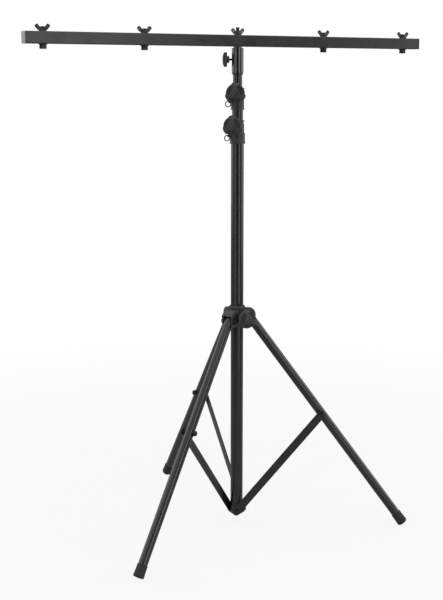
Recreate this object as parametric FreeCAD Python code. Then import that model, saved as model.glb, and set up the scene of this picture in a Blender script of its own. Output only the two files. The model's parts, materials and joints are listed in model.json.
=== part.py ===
"""Telescopic lighting stand with a T-bar on a tripod base.

Millimetres. +Z is up and Z = 0 is the floor under the feet. The origin is on the mast axis,
and X runs along the bar at rest. Each leg, brace and hub lug is drawn in its own radial
plane: local X points out from the mast, local Y is sideways and local Z is up.
"""
import FreeCAD, Part
import math
import os
from FreeCAD import Vector

# Mast tubes and what they stand on
outer_tube_od = 35.0
middle_tube_od = 30.0
top_tube_od = 25.0
tube_wall = 1.5
mast_foot_z = 31.0
outer_tube_length = 1087.0
middle_tube_reveal = 88.0
top_tube_reveal = 84.0
running_clearance = 0.06
seat_clearance = 0.03
stop_gap = 0.3

# Plug in the mast foot, which takes the three lower brace bolts
foot_plug_height = 33.0
foot_plug_tip_drop = 9.5
foot_plug_tip_radius = 5.0
foot_plug_bevel = 1.0
lower_pivot_rise = 6.7
plug_bolt_depth = 9.5

# Guides on the lower ends of the sliding tubes and bushes in the mouths of the others
guide_flange_height = 9.0
guide_spigot_height = 18.0
guide_wall = 2.6
bush_height = 34.0

# Clamp collars, each with a barrel on its tube and a narrower barrel above it
collar_bore_gap = 0.25
collar_flare_height = 5.0
collar_flare_edge = 1.2
collar_groove_height = 0.8
collar_shoulder_height = 3.6
collar_step_height = 5.0
collar_knob_drop = 13.8
collar_boss_radius = 11.0
collar_boss_end = 31.8
lower_collar_form = {
    "below_mouth": 32.0,
    "above_mouth": 30.3,
    "low_wall": 3.0,
    "high_wall": 2.95,
    "groove_wall": 1.0,
    "lip": 1.4,
    "rim": 1.1,
}
upper_collar_form = {
    "below_mouth": 29.3,
    "above_mouth": 28.8,
    "low_wall": 2.8,
    "high_wall": 3.95,
    "groove_wall": 1.7,
    "lip": 1.0,
    "rim": 3.0,
}
lower_knob_azimuth = -137.1
upper_knob_azimuth = -127.6

# Clamp knobs with three grips, their screws and pressure pads
knob_radius = 25.6
knob_grip_radius = 28.8
knob_grip_half_angle = 22.0
knob_neck_radius = 11.5
knob_neck_length = 6.0
knob_rim_start = 9.0
knob_rim_end = 15.5
knob_front = 24.0
knob_gap = 1.2
knob_step_starts = (12.4, 18.0)
knob_step_floors = (17.5, 14.0)
knob_step_half_width = 12.5
clamp_screw_radius = 4.0
pad_radius = 3.9
pad_length = 2.0
screw_depth_in_knob = 14.0
lower_knob_spin = 0.0
upper_knob_spin = 0.0
hub_knob_spin = 8.0

# Safety pins with split rings
pin_radius = 2.5
pin_azimuth = 175.0
lower_pin_depth = 11.0
upper_pin_depth = 8.0
eye_radius = 3.6
eye_standoff = 2.7
ring_mid_radius = 7.5
ring_wire_radius = 1.3
ring_hole_clearance = 0.6
lower_ring_droop = 54.0
upper_ring_droop = 56.0

# Socket on the top tube and the bar's spigot
socket_od = 31.5
socket_overlap = 21.0
socket_length = 71.5
socket_bottom_bevel = 3.0
socket_top_bevel = 0.8
spigot_radius = 11.2
spigot_clearance = 0.05

# Star knob on the socket
star_azimuth = 150.1
star_screw_depth_in_socket = 30.5
star_screw_radius = 3.0
star_pad_length = 2.0
star_pad_gap = 0.25
star_boss_radius = 9.2
star_boss_start = 22.3
star_head_start = 28.3
star_radius = 19.4
star_thickness = 13.0
star_crown = 4.6
star_lobes = 6
star_lobe_radius = 5.6
star_screw_depth = 12.0

# T-bar
bar_length = 1195.0
bar_side = 30.0
bar_wall = 2.0
bar_corner = 2.5
bar_gap = 3.5
bolt_pitch = 276.0
bar_hole_clearance = 0.4
end_cap_plate = 4.5
end_cap_plug = 18.0
end_cap_wall = 2.2

# Hanging bolts, wing nuts and washers
bolt_radius = 4.97
thread_clearance = 0.06
bolt_rise = 12.0
centre_bolt_rise = 20.5
centre_bolt_depth = 26.0
washer_radius = 10.5
washer_thickness = 1.6
lower_washer_radius = 11.25
lower_washer_thickness = 2.0
hex_across_flats = 17.0
jam_nut_height = 4.0
bolt_head_height = 6.4
wing_nut_radius = 9.2
wing_nut_top_radius = 7.2
wing_nut_height = 9.5
wing_width = 9.6
wing_length = 15.0
wing_thickness = 3.2
wing_splay = 38.0
wing_root_radius = 7.2
wing_root_z = 3.0
wing_corner = 2.4
wing_azimuths = {"1": -29.0, "2": -17.0, "centre": -10.0, "3": -2.0, "4": -5.0}

# Legs: the feet's contact circle, the lean and the pivots set the rest
leg_azimuths = {"right": -31.6, "rear": 88.4, "left": 208.4}
leg_tube_od = 25.0
leg_lean = 36.4
foot_circle_radius = 465.5
leg_pivot_radius = 41.0
leg_tube_head = 7.0
leg_plug_cap = 2.0
leg_plug_bevel = 1.2
leg_plug_depth = 15.0
brace_pivot_along_leg = 334.0

# Rubber feet
foot_radius = 14.75
foot_top_radius = 13.7
foot_length = 33.0
foot_sole = 6.0
foot_edge = 2.5
foot_bevel = 0.75
foot_lip_height = 3.0
foot_lip = 0.6
foot_flat = 0.5

# Braces
brace_width = 22.4
brace_thickness = 3.0
brace_offset = 19.5

# Hub that slides on the mast
hub_clearance = 0.8
hub_pad_gap = 0.6
hub_sleeve_wall = 3.2
hub_bottom_drop = 20.0
hub_top_rise = 33.9
hub_neck_height = 5.3
hub_neck_radius = 22.6
hub_neck_top_radius = 19.7
hub_lug_reach = 52.0
hub_lug_top_rise = 31.0
hub_lug_wall = 2.6
hub_lug_side_gap = 0.8
hub_lug_bottom_drop = 15.0
hub_roof = 4.0
hub_lip_rise = 15.4
hub_lip_thickness = 2.6
hub_lug_round = 20.0
hub_bottom_lip = 1.0
hub_bottom_lip_height = 3.5
hub_boss_radius = 13.0
hub_boss_end = 46.8
hub_knob_azimuth = -91.6
hub_knob_rise = 9.5

# Pivot bolts
pivot_bolt_radius = 4.0
pivot_clearance = 0.06
open_pivot_clearance = 1.2
pivot_hex = 13.0
pivot_head_height = 5.3
pivot_nut_height = 6.5
pivot_washer_radius = 8.0
pivot_washer_thickness = 1.5
pivot_bolt_tail = 1.2
spacer_radius = 7.0
strap_gap = 0.2

# Worked out from the driving sizes
outer_r = outer_tube_od / 2
middle_r = middle_tube_od / 2
top_r = top_tube_od / 2
leg_r = leg_tube_od / 2
outer_bore_r = outer_r - tube_wall
middle_bore_r = middle_r - tube_wall
outer_tube_top_z = mast_foot_z + outer_tube_length
middle_tube_top_z = outer_tube_top_z + middle_tube_reveal
top_tube_top_z = middle_tube_top_z + top_tube_reveal
lower_pivot_z = mast_foot_z + lower_pivot_rise
lower_collar_top_z = outer_tube_top_z + lower_collar_form["above_mouth"]
upper_collar_top_z = middle_tube_top_z + upper_collar_form["above_mouth"]
lower_pin_z = outer_tube_top_z - lower_pin_depth
upper_pin_z = middle_tube_top_z - upper_pin_depth
socket_bottom_z = top_tube_top_z - socket_overlap
socket_top_z = socket_bottom_z + socket_length
star_screw_z = socket_top_z - star_screw_depth_in_socket
bar_bottom_z = socket_top_z + bar_gap
middle_tube_bottom_z = mast_foot_z + foot_plug_height + stop_gap + guide_flange_height
top_tube_bottom_z = middle_tube_bottom_z + guide_spigot_height + stop_gap + guide_flange_height
lean_sin = math.sin(math.radians(leg_lean))
lean_cos = math.cos(math.radians(leg_lean))
sole_edge_r = foot_radius - foot_bevel
sole_centre_r = foot_circle_radius + sole_edge_r * lean_cos + foot_bevel * lean_sin
sole_centre_z = sole_edge_r * lean_sin - foot_bevel * lean_cos - foot_flat
leg_length = (sole_centre_r - leg_pivot_radius) / lean_sin
hub_pivot_z = sole_centre_z + leg_length * lean_cos
brace_pivot_r = leg_pivot_radius + brace_pivot_along_leg * lean_sin
brace_pivot_z = hub_pivot_z - brace_pivot_along_leg * lean_cos
brace_length = math.hypot(brace_pivot_r, brace_pivot_z - lower_pivot_z)
brace_lean = math.degrees(math.atan2(brace_pivot_r, brace_pivot_z - lower_pivot_z))
bar_top_z = bar_bottom_z + bar_side
bolt_positions = {"1": -2 * bolt_pitch, "2": -bolt_pitch, "3": bolt_pitch, "4": 2 * bolt_pitch}
parts = {}


def cyl(radius, z0, z1, x=0.0, y=0.0):
    """Upright cylinder between two heights."""
    return Part.makeCylinder(radius, z1 - z0, Vector(x, y, z0))


def ring(outer, inner, z0, z1, x=0.0, y=0.0):
    """Upright ring between two heights."""
    return cyl(outer, z0, z1, x, y).cut(cyl(inner, z0, z1, x, y))


def block(x0, x1, y0, y1, z0, z1):
    return Part.makeBox(x1 - x0, y1 - y0, z1 - z0, Vector(x0, y0, z0))


def turned(profile):
    """Solid of revolution about Z from (radius, height) points."""
    wire = Part.makePolygon([Vector(r, 0, z) for r, z in profile + profile[:1]])
    return Part.Face(wire).revolve(Vector(0, 0, 0), Vector(0, 0, 1), 360)


def hexagon(across_flats, z0, z1, x=0.0, y=0.0):
    """Upright hexagonal prism with its corners taken off as on a nut."""
    corner = across_flats / math.sqrt(3)
    points = [
        Vector(x + corner * math.cos(math.radians(60 * k)), y + corner * math.sin(math.radians(60 * k)), z0)
        for k in range(7)
    ]
    prism = Part.Face(Part.makePolygon(points)).extrude(Vector(0, 0, z1 - z0))
    bevel = (corner - across_flats / 2) * 0.8
    crown = turned(
        [
            (0, z0),
            (corner - bevel, z0),
            (corner, z0 + bevel / 2),
            (corner, z1 - bevel / 2),
            (corner - bevel, z1),
            (0, z1),
        ]
    )
    return prism.common(crown.translated(Vector(x, y, 0)))


def turn_z(shape, azimuth):
    """Turns a shape about the mast axis."""
    return shape.rotated(Vector(0, 0, 0), Vector(0, 0, 1), azimuth)


def outward(shape, azimuth, z):
    """Lays a shape drawn along +Z so that it points out from the mast at a height."""
    laid = shape.rotated(Vector(0, 0, 0), Vector(0, 1, 0), 90)
    return turn_z(laid.translated(Vector(0, 0, z)), azimuth)


def sideways(shape, x, z):
    """Lays a shape drawn along +Z along local Y, through a point of the radial plane."""
    return shape.rotated(Vector(0, 0, 0), Vector(1, 0, 0), -90).translated(Vector(x, 0, z))


def along_leg(shape):
    """Moves a shape drawn about Z, with the hub pivot at its origin and -Z down the leg."""
    leant = shape.rotated(Vector(0, 0, 0), Vector(0, 1, 0), -leg_lean)
    return leant.translated(Vector(leg_pivot_radius, 0, hub_pivot_z))


def export(name, *solids):
    """Writes one sub-part, a single solid or a group of equal pieces."""
    shape = solids[0] if len(solids) == 1 else Part.makeCompound(list(solids))
    for solid in shape.Solids:
        if not solid.isValid():
            raise ValueError(name + " is not a valid solid")
    parts[name] = shape
    shape.exportStep("parts/" + name + ".step")


def pin_hole(z):
    """The path of a safety pin on its own side of the mast, from the axis outwards."""
    path = cyl(pin_radius + running_clearance, 0, 2 * outer_r)
    return outward(path, pin_azimuth, z)


def outer_tube():
    tube = ring(outer_r, outer_bore_r, mast_foot_z, outer_tube_top_z)
    for azimuth in leg_azimuths.values():
        hole = cyl(pivot_bolt_radius, outer_bore_r - tube_wall, outer_r + tube_wall)
        tube = tube.cut(outward(hole, azimuth - 90, lower_pivot_z))
    return tube.cut(pin_hole(lower_pin_z))


def middle_tube():
    tube = ring(middle_r, middle_bore_r, middle_tube_bottom_z, middle_tube_top_z)
    return tube.cut(pin_hole(lower_pin_z)).cut(pin_hole(upper_pin_z))


def top_tube():
    tube = ring(top_r, top_r - tube_wall, top_tube_bottom_z, top_tube_top_z)
    return tube.cut(pin_hole(upper_pin_z))


def foot_plug():
    """Solid plug in the mast foot with a blunt cone under the tube."""
    z0 = mast_foot_z - foot_plug_tip_drop
    r = outer_bore_r - seat_clearance
    plug = turned(
        [
            (0, z0),
            (foot_plug_tip_radius, z0),
            (outer_r, mast_foot_z - foot_plug_bevel),
            (outer_r, mast_foot_z),
            (r, mast_foot_z),
            (r, mast_foot_z + foot_plug_height - foot_plug_bevel),
            (r - foot_plug_bevel, mast_foot_z + foot_plug_height),
            (0, mast_foot_z + foot_plug_height),
        ]
    )
    for azimuth in leg_azimuths.values():
        hole = cyl(pivot_bolt_radius, outer_r - plug_bolt_depth, outer_r)
        plug = plug.cut(outward(hole, azimuth - 90, lower_pivot_z))
    return plug


def guide(tube_r, bore_r, tube_bottom_z):
    """Sliding guide pressed into the lower end of a tube: a spigot inside, a flange below."""
    spigot_r = tube_r - tube_wall - seat_clearance
    flange_r = bore_r - running_clearance
    inner_r = spigot_r - guide_wall
    z0 = tube_bottom_z - guide_flange_height
    return turned(
        [
            (inner_r, z0),
            (flange_r, z0),
            (flange_r, tube_bottom_z),
            (spigot_r, tube_bottom_z),
            (spigot_r, tube_bottom_z + guide_spigot_height),
            (inner_r, tube_bottom_z + guide_spigot_height),
        ]
    )


def bush(tube_r, inner_tube_r, tube_top_z, pin_z):
    """Sleeve in the mouth of a tube that guides the next tube up."""
    outside = tube_r - tube_wall - seat_clearance
    inside = inner_tube_r + running_clearance
    return ring(outside, inside, tube_top_z - bush_height, tube_top_z).cut(pin_hole(pin_z))


def collar(form, tube_r, sliding_r, tube_top_z, knob_azimuth, pin_z):
    """Moulded collar: a barrel on the tube, a narrower one above it with the clamp boss,
    a flared lip at each end, a groove under the upper lip and the bore of the safety pin."""
    z0 = tube_top_z - form["below_mouth"]
    z1 = tube_top_z + form["above_mouth"]
    low_r = tube_r + form["low_wall"]
    bore_high = sliding_r + collar_bore_gap
    high_r = bore_high + form["high_wall"]
    groove_r = bore_high + form["groove_wall"]
    groove_z = z1 - collar_flare_height
    step_z = tube_top_z - collar_flare_edge
    body = turned(
        [
            (tube_r, z0),
            (low_r + form["lip"], z0),
            (low_r + form["lip"], z0 + collar_flare_edge),
            (low_r, z0 + collar_flare_height),
            (low_r, step_z - collar_step_height),
            (high_r, step_z),
            (high_r, groove_z - collar_groove_height - collar_shoulder_height),
            (groove_r, groove_z - collar_groove_height),
            (groove_r, groove_z),
            (high_r + form["rim"], z1 - collar_flare_edge),
            (high_r + form["rim"], z1),
            (bore_high, z1),
            (bore_high, tube_top_z),
            (tube_r, tube_top_z),
        ]
    )
    knob_z = z1 - collar_knob_drop
    boss = cyl(collar_boss_radius, bore_high + form["high_wall"] / 2, collar_boss_end)
    body = body.fuse(outward(boss, knob_azimuth, knob_z))
    screw_hole = cyl(clamp_screw_radius + running_clearance, sliding_r, collar_boss_end + knob_gap)
    body = body.cut(outward(screw_hole, knob_azimuth, knob_z))
    return body.cut(pin_hole(pin_z)).removeSplitter()


def lobed_face(radius, lobe_r, lobes, spin):
    """Flat outline of a knob: round lobes joined by hollow flutes that are tangent to them."""
    centre_r = radius - lobe_r
    half = math.pi / lobes
    chord = centre_r * math.sin(half)
    flute_r = (chord / math.cos(half)) * 1.15
    drop = math.sqrt((lobe_r + flute_r) ** 2 - chord**2)
    flute_centre = centre_r * math.cos(half) + drop
    edges = []
    for k in range(lobes):
        a = math.radians(spin) + 2 * math.pi * k / lobes
        lobe_c = Vector(centre_r * math.cos(a), centre_r * math.sin(a), 0)
        flutes = []
        for side in (-1, 1):
            b = a + side * half
            flutes.append(Vector(flute_centre * math.cos(b), flute_centre * math.sin(b), 0))
        meets = [lobe_c + (f - lobe_c).normalize() * lobe_r for f in flutes]
        tip = Vector(radius * math.cos(a), radius * math.sin(a), 0)
        edges.append(Part.Arc(meets[0], tip, meets[1]).toShape())
        b = a + half
        hollow = Vector((flute_centre - flute_r) * math.cos(b), (flute_centre - flute_r) * math.sin(b), 0)
        n = a + 2 * half
        next_lobe = Vector(centre_r * math.cos(n), centre_r * math.sin(n), 0)
        start_next = next_lobe + (flutes[1] - next_lobe).normalize() * lobe_r
        edges.append(Part.Arc(meets[1], hollow, start_next).toShape())
    return Part.Face(Part.Wire(edges))


def star_head():
    """Star knob head from Z = 0, crowned in front by a large sphere and eased behind."""
    head = lobed_face(star_radius, star_lobe_radius, star_lobes, 0).extrude(Vector(0, 0, star_thickness))
    sphere_r = (star_radius**2 + star_crown**2) / (2 * star_crown)
    dome = Part.makeSphere(sphere_r, Vector(0, 0, star_thickness - sphere_r))
    back_r = star_radius - star_crown / 2
    cone_height = star_thickness + star_crown
    cone = Part.makeCone(back_r, back_r + cone_height, cone_height)
    return head.common(dome).common(cone)


def knob_disc(radius):
    """Crowned disc behind a short neck, from Z = 0 at the back of the neck."""
    rise = knob_front - knob_rim_end
    sphere_r = (radius**2 + rise**2) / (2 * rise)
    body = turned(
        [
            (0, 0),
            (knob_neck_radius, 0),
            (knob_neck_radius, knob_neck_length),
            (radius, knob_rim_start),
            (radius, knob_front),
            (0, knob_front),
        ]
    )
    return body.common(Part.makeSphere(sphere_r, Vector(0, 0, knob_front - sphere_r)))


def clamp_knob(back_r, spin):
    """Round knob with three grips, a domed three-sided centre and stepped panels between
    the grips. Its neck starts at a distance from the mast axis."""
    wide = knob_disc(knob_grip_radius)
    knob = knob_disc(knob_radius)
    half = math.radians(knob_grip_half_angle)
    reach = 2 * knob_grip_radius
    for grip in (0, 120, 240):
        points = [
            Vector(0, 0, 0),
            Vector(reach * math.cos(-half), reach * math.sin(-half), 0),
            Vector(reach * math.cos(half), reach * math.sin(half), 0),
            Vector(0, 0, 0),
        ]
        wedge = Part.Face(Part.makePolygon(points)).extrude(Vector(0, 0, knob_front))
        knob = knob.fuse(wide.common(wedge).rotated(Vector(0, 0, 0), Vector(0, 0, 1), grip))
    for panel in (60, 180, 300):
        for start, floor in zip(knob_step_starts, knob_step_floors):
            step = block(start, reach, -knob_step_half_width, knob_step_half_width, floor, knob_front)
            knob = knob.cut(step.rotated(Vector(0, 0, 0), Vector(0, 0, 1), panel))
    knob = knob.cut(cyl(clamp_screw_radius, 0, screw_depth_in_knob))
    knob = knob.rotated(Vector(0, 0, 0), Vector(0, 0, 1), 180 + spin)
    return knob.translated(Vector(0, 0, back_r)).removeSplitter()


def clamp_set(name, pad_start, boss_end_r, azimuth, z, spin):
    """Pressure pad, screw and knob of one clamp, outwards from the tube that it presses."""
    back_r = boss_end_r + knob_gap
    export(name + "_pad", outward(cyl(pad_radius, pad_start, pad_start + pad_length), azimuth, z))
    screw = cyl(clamp_screw_radius, pad_start + pad_length, back_r + screw_depth_in_knob)
    export(name + "_screw", outward(screw, azimuth, z))
    export(name + "_knob", outward(clamp_knob(back_r, spin), azimuth, z))


def safety_pin(name, sliding_r, surface_r, z, droop):
    """Pin drawn back from the sliding tube, with an eye that carries a split ring."""
    eye_r = surface_r + eye_standoff + eye_radius
    a = math.radians(droop)
    shank = cyl(pin_radius, sliding_r + stop_gap, eye_r)
    eye = Part.makeSphere(eye_radius, Vector(0, 0, eye_r))
    pin = outward(shank.fuse(eye), 0, z)
    to_centre = Vector(math.cos(a), 0, -math.sin(a))
    wire_dir = Vector(math.sin(a), 0, math.cos(a))
    hole_at = Vector(eye_r, 0, z)
    hole_r = ring_wire_radius + ring_hole_clearance
    hole = Part.makeCylinder(hole_r, 4 * eye_radius, hole_at - wire_dir * 2 * eye_radius, wire_dir)
    bow = ring_mid_radius - math.sqrt(ring_mid_radius**2 - eye_radius**2)
    loop_at = hole_at + to_centre * (ring_mid_radius - bow / 2)
    loop = Part.makeTorus(ring_mid_radius, ring_wire_radius, loop_at, Vector(0, 1, 0))
    export(name + "_pin", turn_z(pin.cut(hole), pin_azimuth))
    export(name + "_pin_ring", turn_z(loop, pin_azimuth))


def top_socket():
    r = socket_od / 2
    z0, z1 = socket_bottom_z, socket_top_z
    bore = spigot_radius + spigot_clearance
    body = turned(
        [
            (top_r, z0),
            (r - socket_bottom_bevel, z0),
            (r, z0 + 2 * socket_bottom_bevel),
            (r, z1 - socket_top_bevel),
            (r - socket_top_bevel, z1),
            (bore, z1),
            (bore, top_tube_top_z),
            (top_r, top_tube_top_z),
        ]
    )
    hole = cyl(star_screw_radius + running_clearance, top_r - tube_wall, 2 * r)
    return body.cut(outward(hole, star_azimuth, star_screw_z))


def star_set():
    """Pad, screw and star knob that hold the spigot in the socket."""
    pad_start = spigot_radius + star_pad_gap
    pad_r = star_screw_radius - running_clearance
    screw_end = star_boss_start + star_screw_depth
    pad = cyl(pad_r, pad_start, pad_start + star_pad_length)
    screw = cyl(star_screw_radius, pad_start + star_pad_length, screw_end)
    boss = cyl(star_boss_radius, star_boss_start, star_head_start + star_thickness / 2)
    knob = boss.fuse(star_head().translated(Vector(0, 0, star_head_start)))
    knob = knob.cut(cyl(star_screw_radius, star_boss_start, screw_end)).removeSplitter()
    export("star_pad", outward(pad, star_azimuth, star_screw_z))
    export("star_screw", outward(screw, star_azimuth, star_screw_z))
    export("star_knob", outward(knob, star_azimuth, star_screw_z))


def bar_spigot():
    """Turned spigot that carries the bar, with the tapped hole of the centre bolt."""
    z0 = top_tube_top_z + stop_gap
    body = turned(
        [
            (0, z0),
            (spigot_radius - socket_top_bevel, z0),
            (spigot_radius, z0 + socket_top_bevel),
            (spigot_radius, bar_bottom_z),
            (0, bar_bottom_z),
        ]
    )
    return body.cut(cyl(bolt_radius, bar_bottom_z - centre_bolt_depth, bar_bottom_z))


def rounded_square_bar(side, corner, x0, x1):
    """Square bar between two X values, centred on the T-bar's axis."""
    mid_z = bar_bottom_z + bar_side / 2
    bar = block(x0, x1, -side / 2, side / 2, mid_z - side / 2, mid_z + side / 2)
    if corner <= 0:
        return bar
    long_edges = [e for e in bar.Edges if e.BoundBox.XLength > abs(x1 - x0) / 2]
    return bar.makeFillet(corner, long_edges)


def t_bar():
    half = bar_length / 2
    bar = rounded_square_bar(bar_side, bar_corner, -half, half)
    bar = bar.cut(rounded_square_bar(bar_side - 2 * bar_wall, max(bar_corner - bar_wall, 0), -half, half))
    for x in [0.0] + list(bolt_positions.values()):
        bar = bar.cut(cyl(bolt_radius + bar_hole_clearance, bar_bottom_z, bar_top_z, x))
    return bar


def end_cap(side):
    """Moulded cap: a plate on the end of the bar and a hollow plug inside it."""
    x = side * bar_length / 2
    plate = rounded_square_bar(bar_side, bar_corner, *sorted((x, x + side * end_cap_plate)))
    plug_ends = sorted((x, x - side * end_cap_plug))
    plug_side = bar_side - 2 * bar_wall - 2 * seat_clearance
    plug = rounded_square_bar(plug_side, bar_corner - bar_wall, *plug_ends)
    plug = plug.cut(rounded_square_bar(plug_side - 2 * end_cap_wall, 0, *plug_ends))
    return plate.fuse(plug).removeSplitter()


def hanging_bolt(x):
    """Bolt hung through the bar with its jam nut and washer below."""
    washer_z = bar_bottom_z - lower_washer_thickness
    nut_z = washer_z - jam_nut_height
    head_z = nut_z - bolt_head_height
    shank = cyl(bolt_radius, nut_z, bar_top_z + bolt_rise, x)
    bolt = hexagon(hex_across_flats, head_z, nut_z, x).fuse(shank)
    nut = hexagon(hex_across_flats, nut_z, washer_z, x).cut(cyl(bolt_radius, nut_z, washer_z, x))
    washer = ring(lower_washer_radius, bolt_radius, washer_z, bar_bottom_z, x)
    return bolt, nut, washer


def wing_nut(x, azimuth):
    """Nut with two flat wings that stand up and outwards from a tapered body."""
    z0 = bar_top_z + washer_thickness
    body = Part.makeCone(wing_nut_radius, wing_nut_top_radius, wing_nut_height, Vector(0, 0, z0))
    wing = block(-wing_width / 2, wing_width / 2, -wing_thickness / 2, wing_thickness / 2, 0, wing_length)
    upper = [e for e in wing.Edges if e.BoundBox.ZMin > wing_length / 2]
    tips = [e for e in upper if e.BoundBox.YLength > wing_thickness / 2]
    wing = wing.makeFillet(wing_corner, tips)
    for side in (-1, 1):
        placed = wing.rotated(Vector(0, 0, 0), Vector(0, 1, 0), side * wing_splay)
        body = body.fuse(placed.translated(Vector(side * wing_root_radius, 0, z0 + wing_root_z)))
    bore = cyl(bolt_radius + thread_clearance, z0 - wing_nut_height, z0 + 2 * wing_length)
    return turn_z(body.cut(bore).removeSplitter(), azimuth).translated(Vector(x, 0, 0))


def leg_tube(hub_hole_clearance):
    """Leg tube from above the hub pivot to the sole inside the rubber foot."""
    tube = ring(leg_r, leg_r - tube_wall, foot_sole - leg_length, leg_tube_head)
    for along, clearance in ((0.0, hub_hole_clearance), (brace_pivot_along_leg, 0.0)):
        hole = cyl(pivot_bolt_radius + clearance, -leg_tube_od, leg_tube_od)
        tube = tube.cut(sideways(hole, 0, -along))
    return along_leg(tube)


def leg_plug(hub_hole_clearance):
    """Plastic plug in the head of a leg, with the hole of the hub pivot across it."""
    r = leg_r - tube_wall - seat_clearance
    top = leg_tube_head + leg_plug_cap
    plug = turned(
        [
            (0, -leg_plug_depth),
            (r, -leg_plug_depth),
            (r, leg_tube_head),
            (leg_r, leg_tube_head),
            (leg_r, top - leg_plug_bevel),
            (leg_r - leg_plug_bevel, top),
            (0, top),
        ]
    )
    hole = cyl(pivot_bolt_radius + hub_hole_clearance, -leg_tube_od, leg_tube_od)
    return along_leg(plug.cut(sideways(hole, 0, 0)))


def rubber_foot():
    """Rubber cap on the end of a leg, cut flat where it meets the floor."""
    z0 = -leg_length
    top = z0 + foot_length
    foot = turned(
        [
            (0, z0),
            (foot_radius - foot_edge, z0),
            (sole_edge_r, z0 + foot_bevel),
            (foot_radius, z0 + foot_edge),
            (foot_top_radius, top - foot_lip_height),
            (foot_top_radius + foot_lip, top - foot_lip_height),
            (foot_top_radius + foot_lip, top),
            (leg_r, top),
            (leg_r, z0 + foot_sole),
            (0, z0 + foot_sole),
        ]
    )
    return along_leg(foot).cut(block(0, 2 * sole_centre_r, -outer_tube_od, outer_tube_od, -outer_tube_od, 0))


def brace():
    """Flat strap with round ends and a hole at each, drawn upright from its lower pivot."""
    half = brace_width / 2
    inner = brace_offset - brace_thickness / 2
    strap = block(-half, half, 0, brace_thickness, 0, brace_length)
    for z in (0.0, brace_length):
        end = sideways(cyl(half, 0, brace_thickness), 0, z)
        strap = strap.fuse(end)
    for z in (0.0, brace_length):
        hole = cyl(pivot_bolt_radius + pivot_clearance, -brace_thickness, 2 * brace_thickness)
        strap = strap.cut(sideways(hole, 0, z))
    strap = strap.removeSplitter().translated(Vector(0, -inner - brace_thickness, 0))
    return strap.rotated(Vector(0, 0, 0), Vector(0, 1, 0), brace_lean).translated(Vector(0, 0, lower_pivot_z))


def foot_bolt():
    """Bolt through the lower end of a brace into the foot plug, with its washers."""
    inner_face = brace_offset - brace_thickness / 2 - strap_gap / 2
    outer_face = brace_offset + brace_thickness / 2 + strap_gap
    head_start = outer_face + pivot_washer_thickness
    shank = cyl(pivot_bolt_radius, outer_r - plug_bolt_depth, head_start)
    bolt = shank.fuse(hexagon(pivot_hex, head_start, head_start + pivot_head_height))
    washer = ring(pivot_washer_radius, pivot_bolt_radius, outer_face, head_start)
    inner_washer = ring(pivot_washer_radius, pivot_bolt_radius, outer_r, inner_face)
    return bolt, washer, inner_washer


def brace_pivot_set():
    """Bolt, spacer, washers and nut that join a brace to its leg, drawn along Z."""
    inner = brace_offset - brace_thickness / 2
    outer_face = inner + brace_thickness + strap_gap
    head_start = outer_face + pivot_washer_thickness
    nut_start = leg_r + pivot_washer_thickness
    nut_end = nut_start + pivot_nut_height
    shank = cyl(pivot_bolt_radius, -head_start, nut_end + pivot_bolt_tail)
    bolt = shank.fuse(hexagon(pivot_hex, -head_start - pivot_head_height, -head_start))
    washer = ring(pivot_washer_radius, pivot_bolt_radius, -head_start, -outer_face)
    spacer = ring(spacer_radius, pivot_bolt_radius, -inner + strap_gap / 2, -leg_r + tube_wall)
    spacer = spacer.cut(leg_outside())
    nut_washer = ring(pivot_washer_radius, pivot_bolt_radius, leg_r, nut_start)
    nut = hexagon(pivot_hex, nut_start, nut_end).cut(cyl(pivot_bolt_radius, nut_start, nut_end))
    return bolt, washer, spacer, nut_washer, nut


def leg_outside():
    """The leg tube's outer form, lying across a bolt that is drawn along Z."""
    along = Vector(lean_sin, lean_cos, 0)
    return Part.makeCylinder(leg_r, 4 * leg_r, along * (-2 * leg_r), along)


def hub_pivot_set():
    """Bolt, washers and nut through a hub lug, drawn along Z."""
    side = leg_r + hub_lug_side_gap + hub_lug_wall
    head_start = side + pivot_washer_thickness
    nut_end = head_start + pivot_nut_height
    shank = cyl(pivot_bolt_radius, -head_start, nut_end + pivot_bolt_tail)
    bolt = shank.fuse(hexagon(pivot_hex, -head_start - pivot_head_height, -head_start))
    washer = ring(pivot_washer_radius, pivot_bolt_radius, -head_start, -side)
    nut_washer = ring(pivot_washer_radius, pivot_bolt_radius, side, head_start)
    nut = hexagon(pivot_hex, head_start, nut_end).cut(cyl(pivot_bolt_radius, head_start, nut_end))
    return bolt, washer, nut_washer, nut


def rounded_box(x0, x1, side, z0, z1, radius):
    """Box between two X values whose outer top edge is rounded."""
    box = block(x0, x1, -side, side, z0, z1)
    edges = [e for e in box.Edges if e.CenterOfMass.x > x1 - radius / 2 and e.CenterOfMass.z > z1 - radius / 2]
    return box.makeFillet(radius, edges)


def hub_lug():
    """Hooded lug for one leg, in the leg's radial plane."""
    side = leg_r + hub_lug_side_gap + hub_lug_wall
    z0 = hub_pivot_z - hub_lug_bottom_drop
    return rounded_box(outer_r, hub_lug_reach, side, z0, hub_pivot_z + hub_lug_top_rise, hub_lug_round)


def hub_pocket():
    """Room for the leg's head, open below and in front under the hood's lip."""
    gap = leg_r + hub_lug_side_gap
    inner_x = outer_r + hub_clearance + hub_sleeve_wall
    roof_z = hub_pivot_z + hub_lug_top_rise - hub_roof
    bottom = hub_pivot_z - hub_bottom_drop
    room_x = hub_lug_reach - hub_lip_thickness
    room = rounded_box(inner_x, room_x, gap, bottom, roof_z, hub_lug_round - hub_lip_thickness)
    mouth = block(inner_x, 2 * hub_lug_reach, -gap, gap, bottom, hub_pivot_z + hub_lip_rise)
    return room.fuse(mouth)


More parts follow.
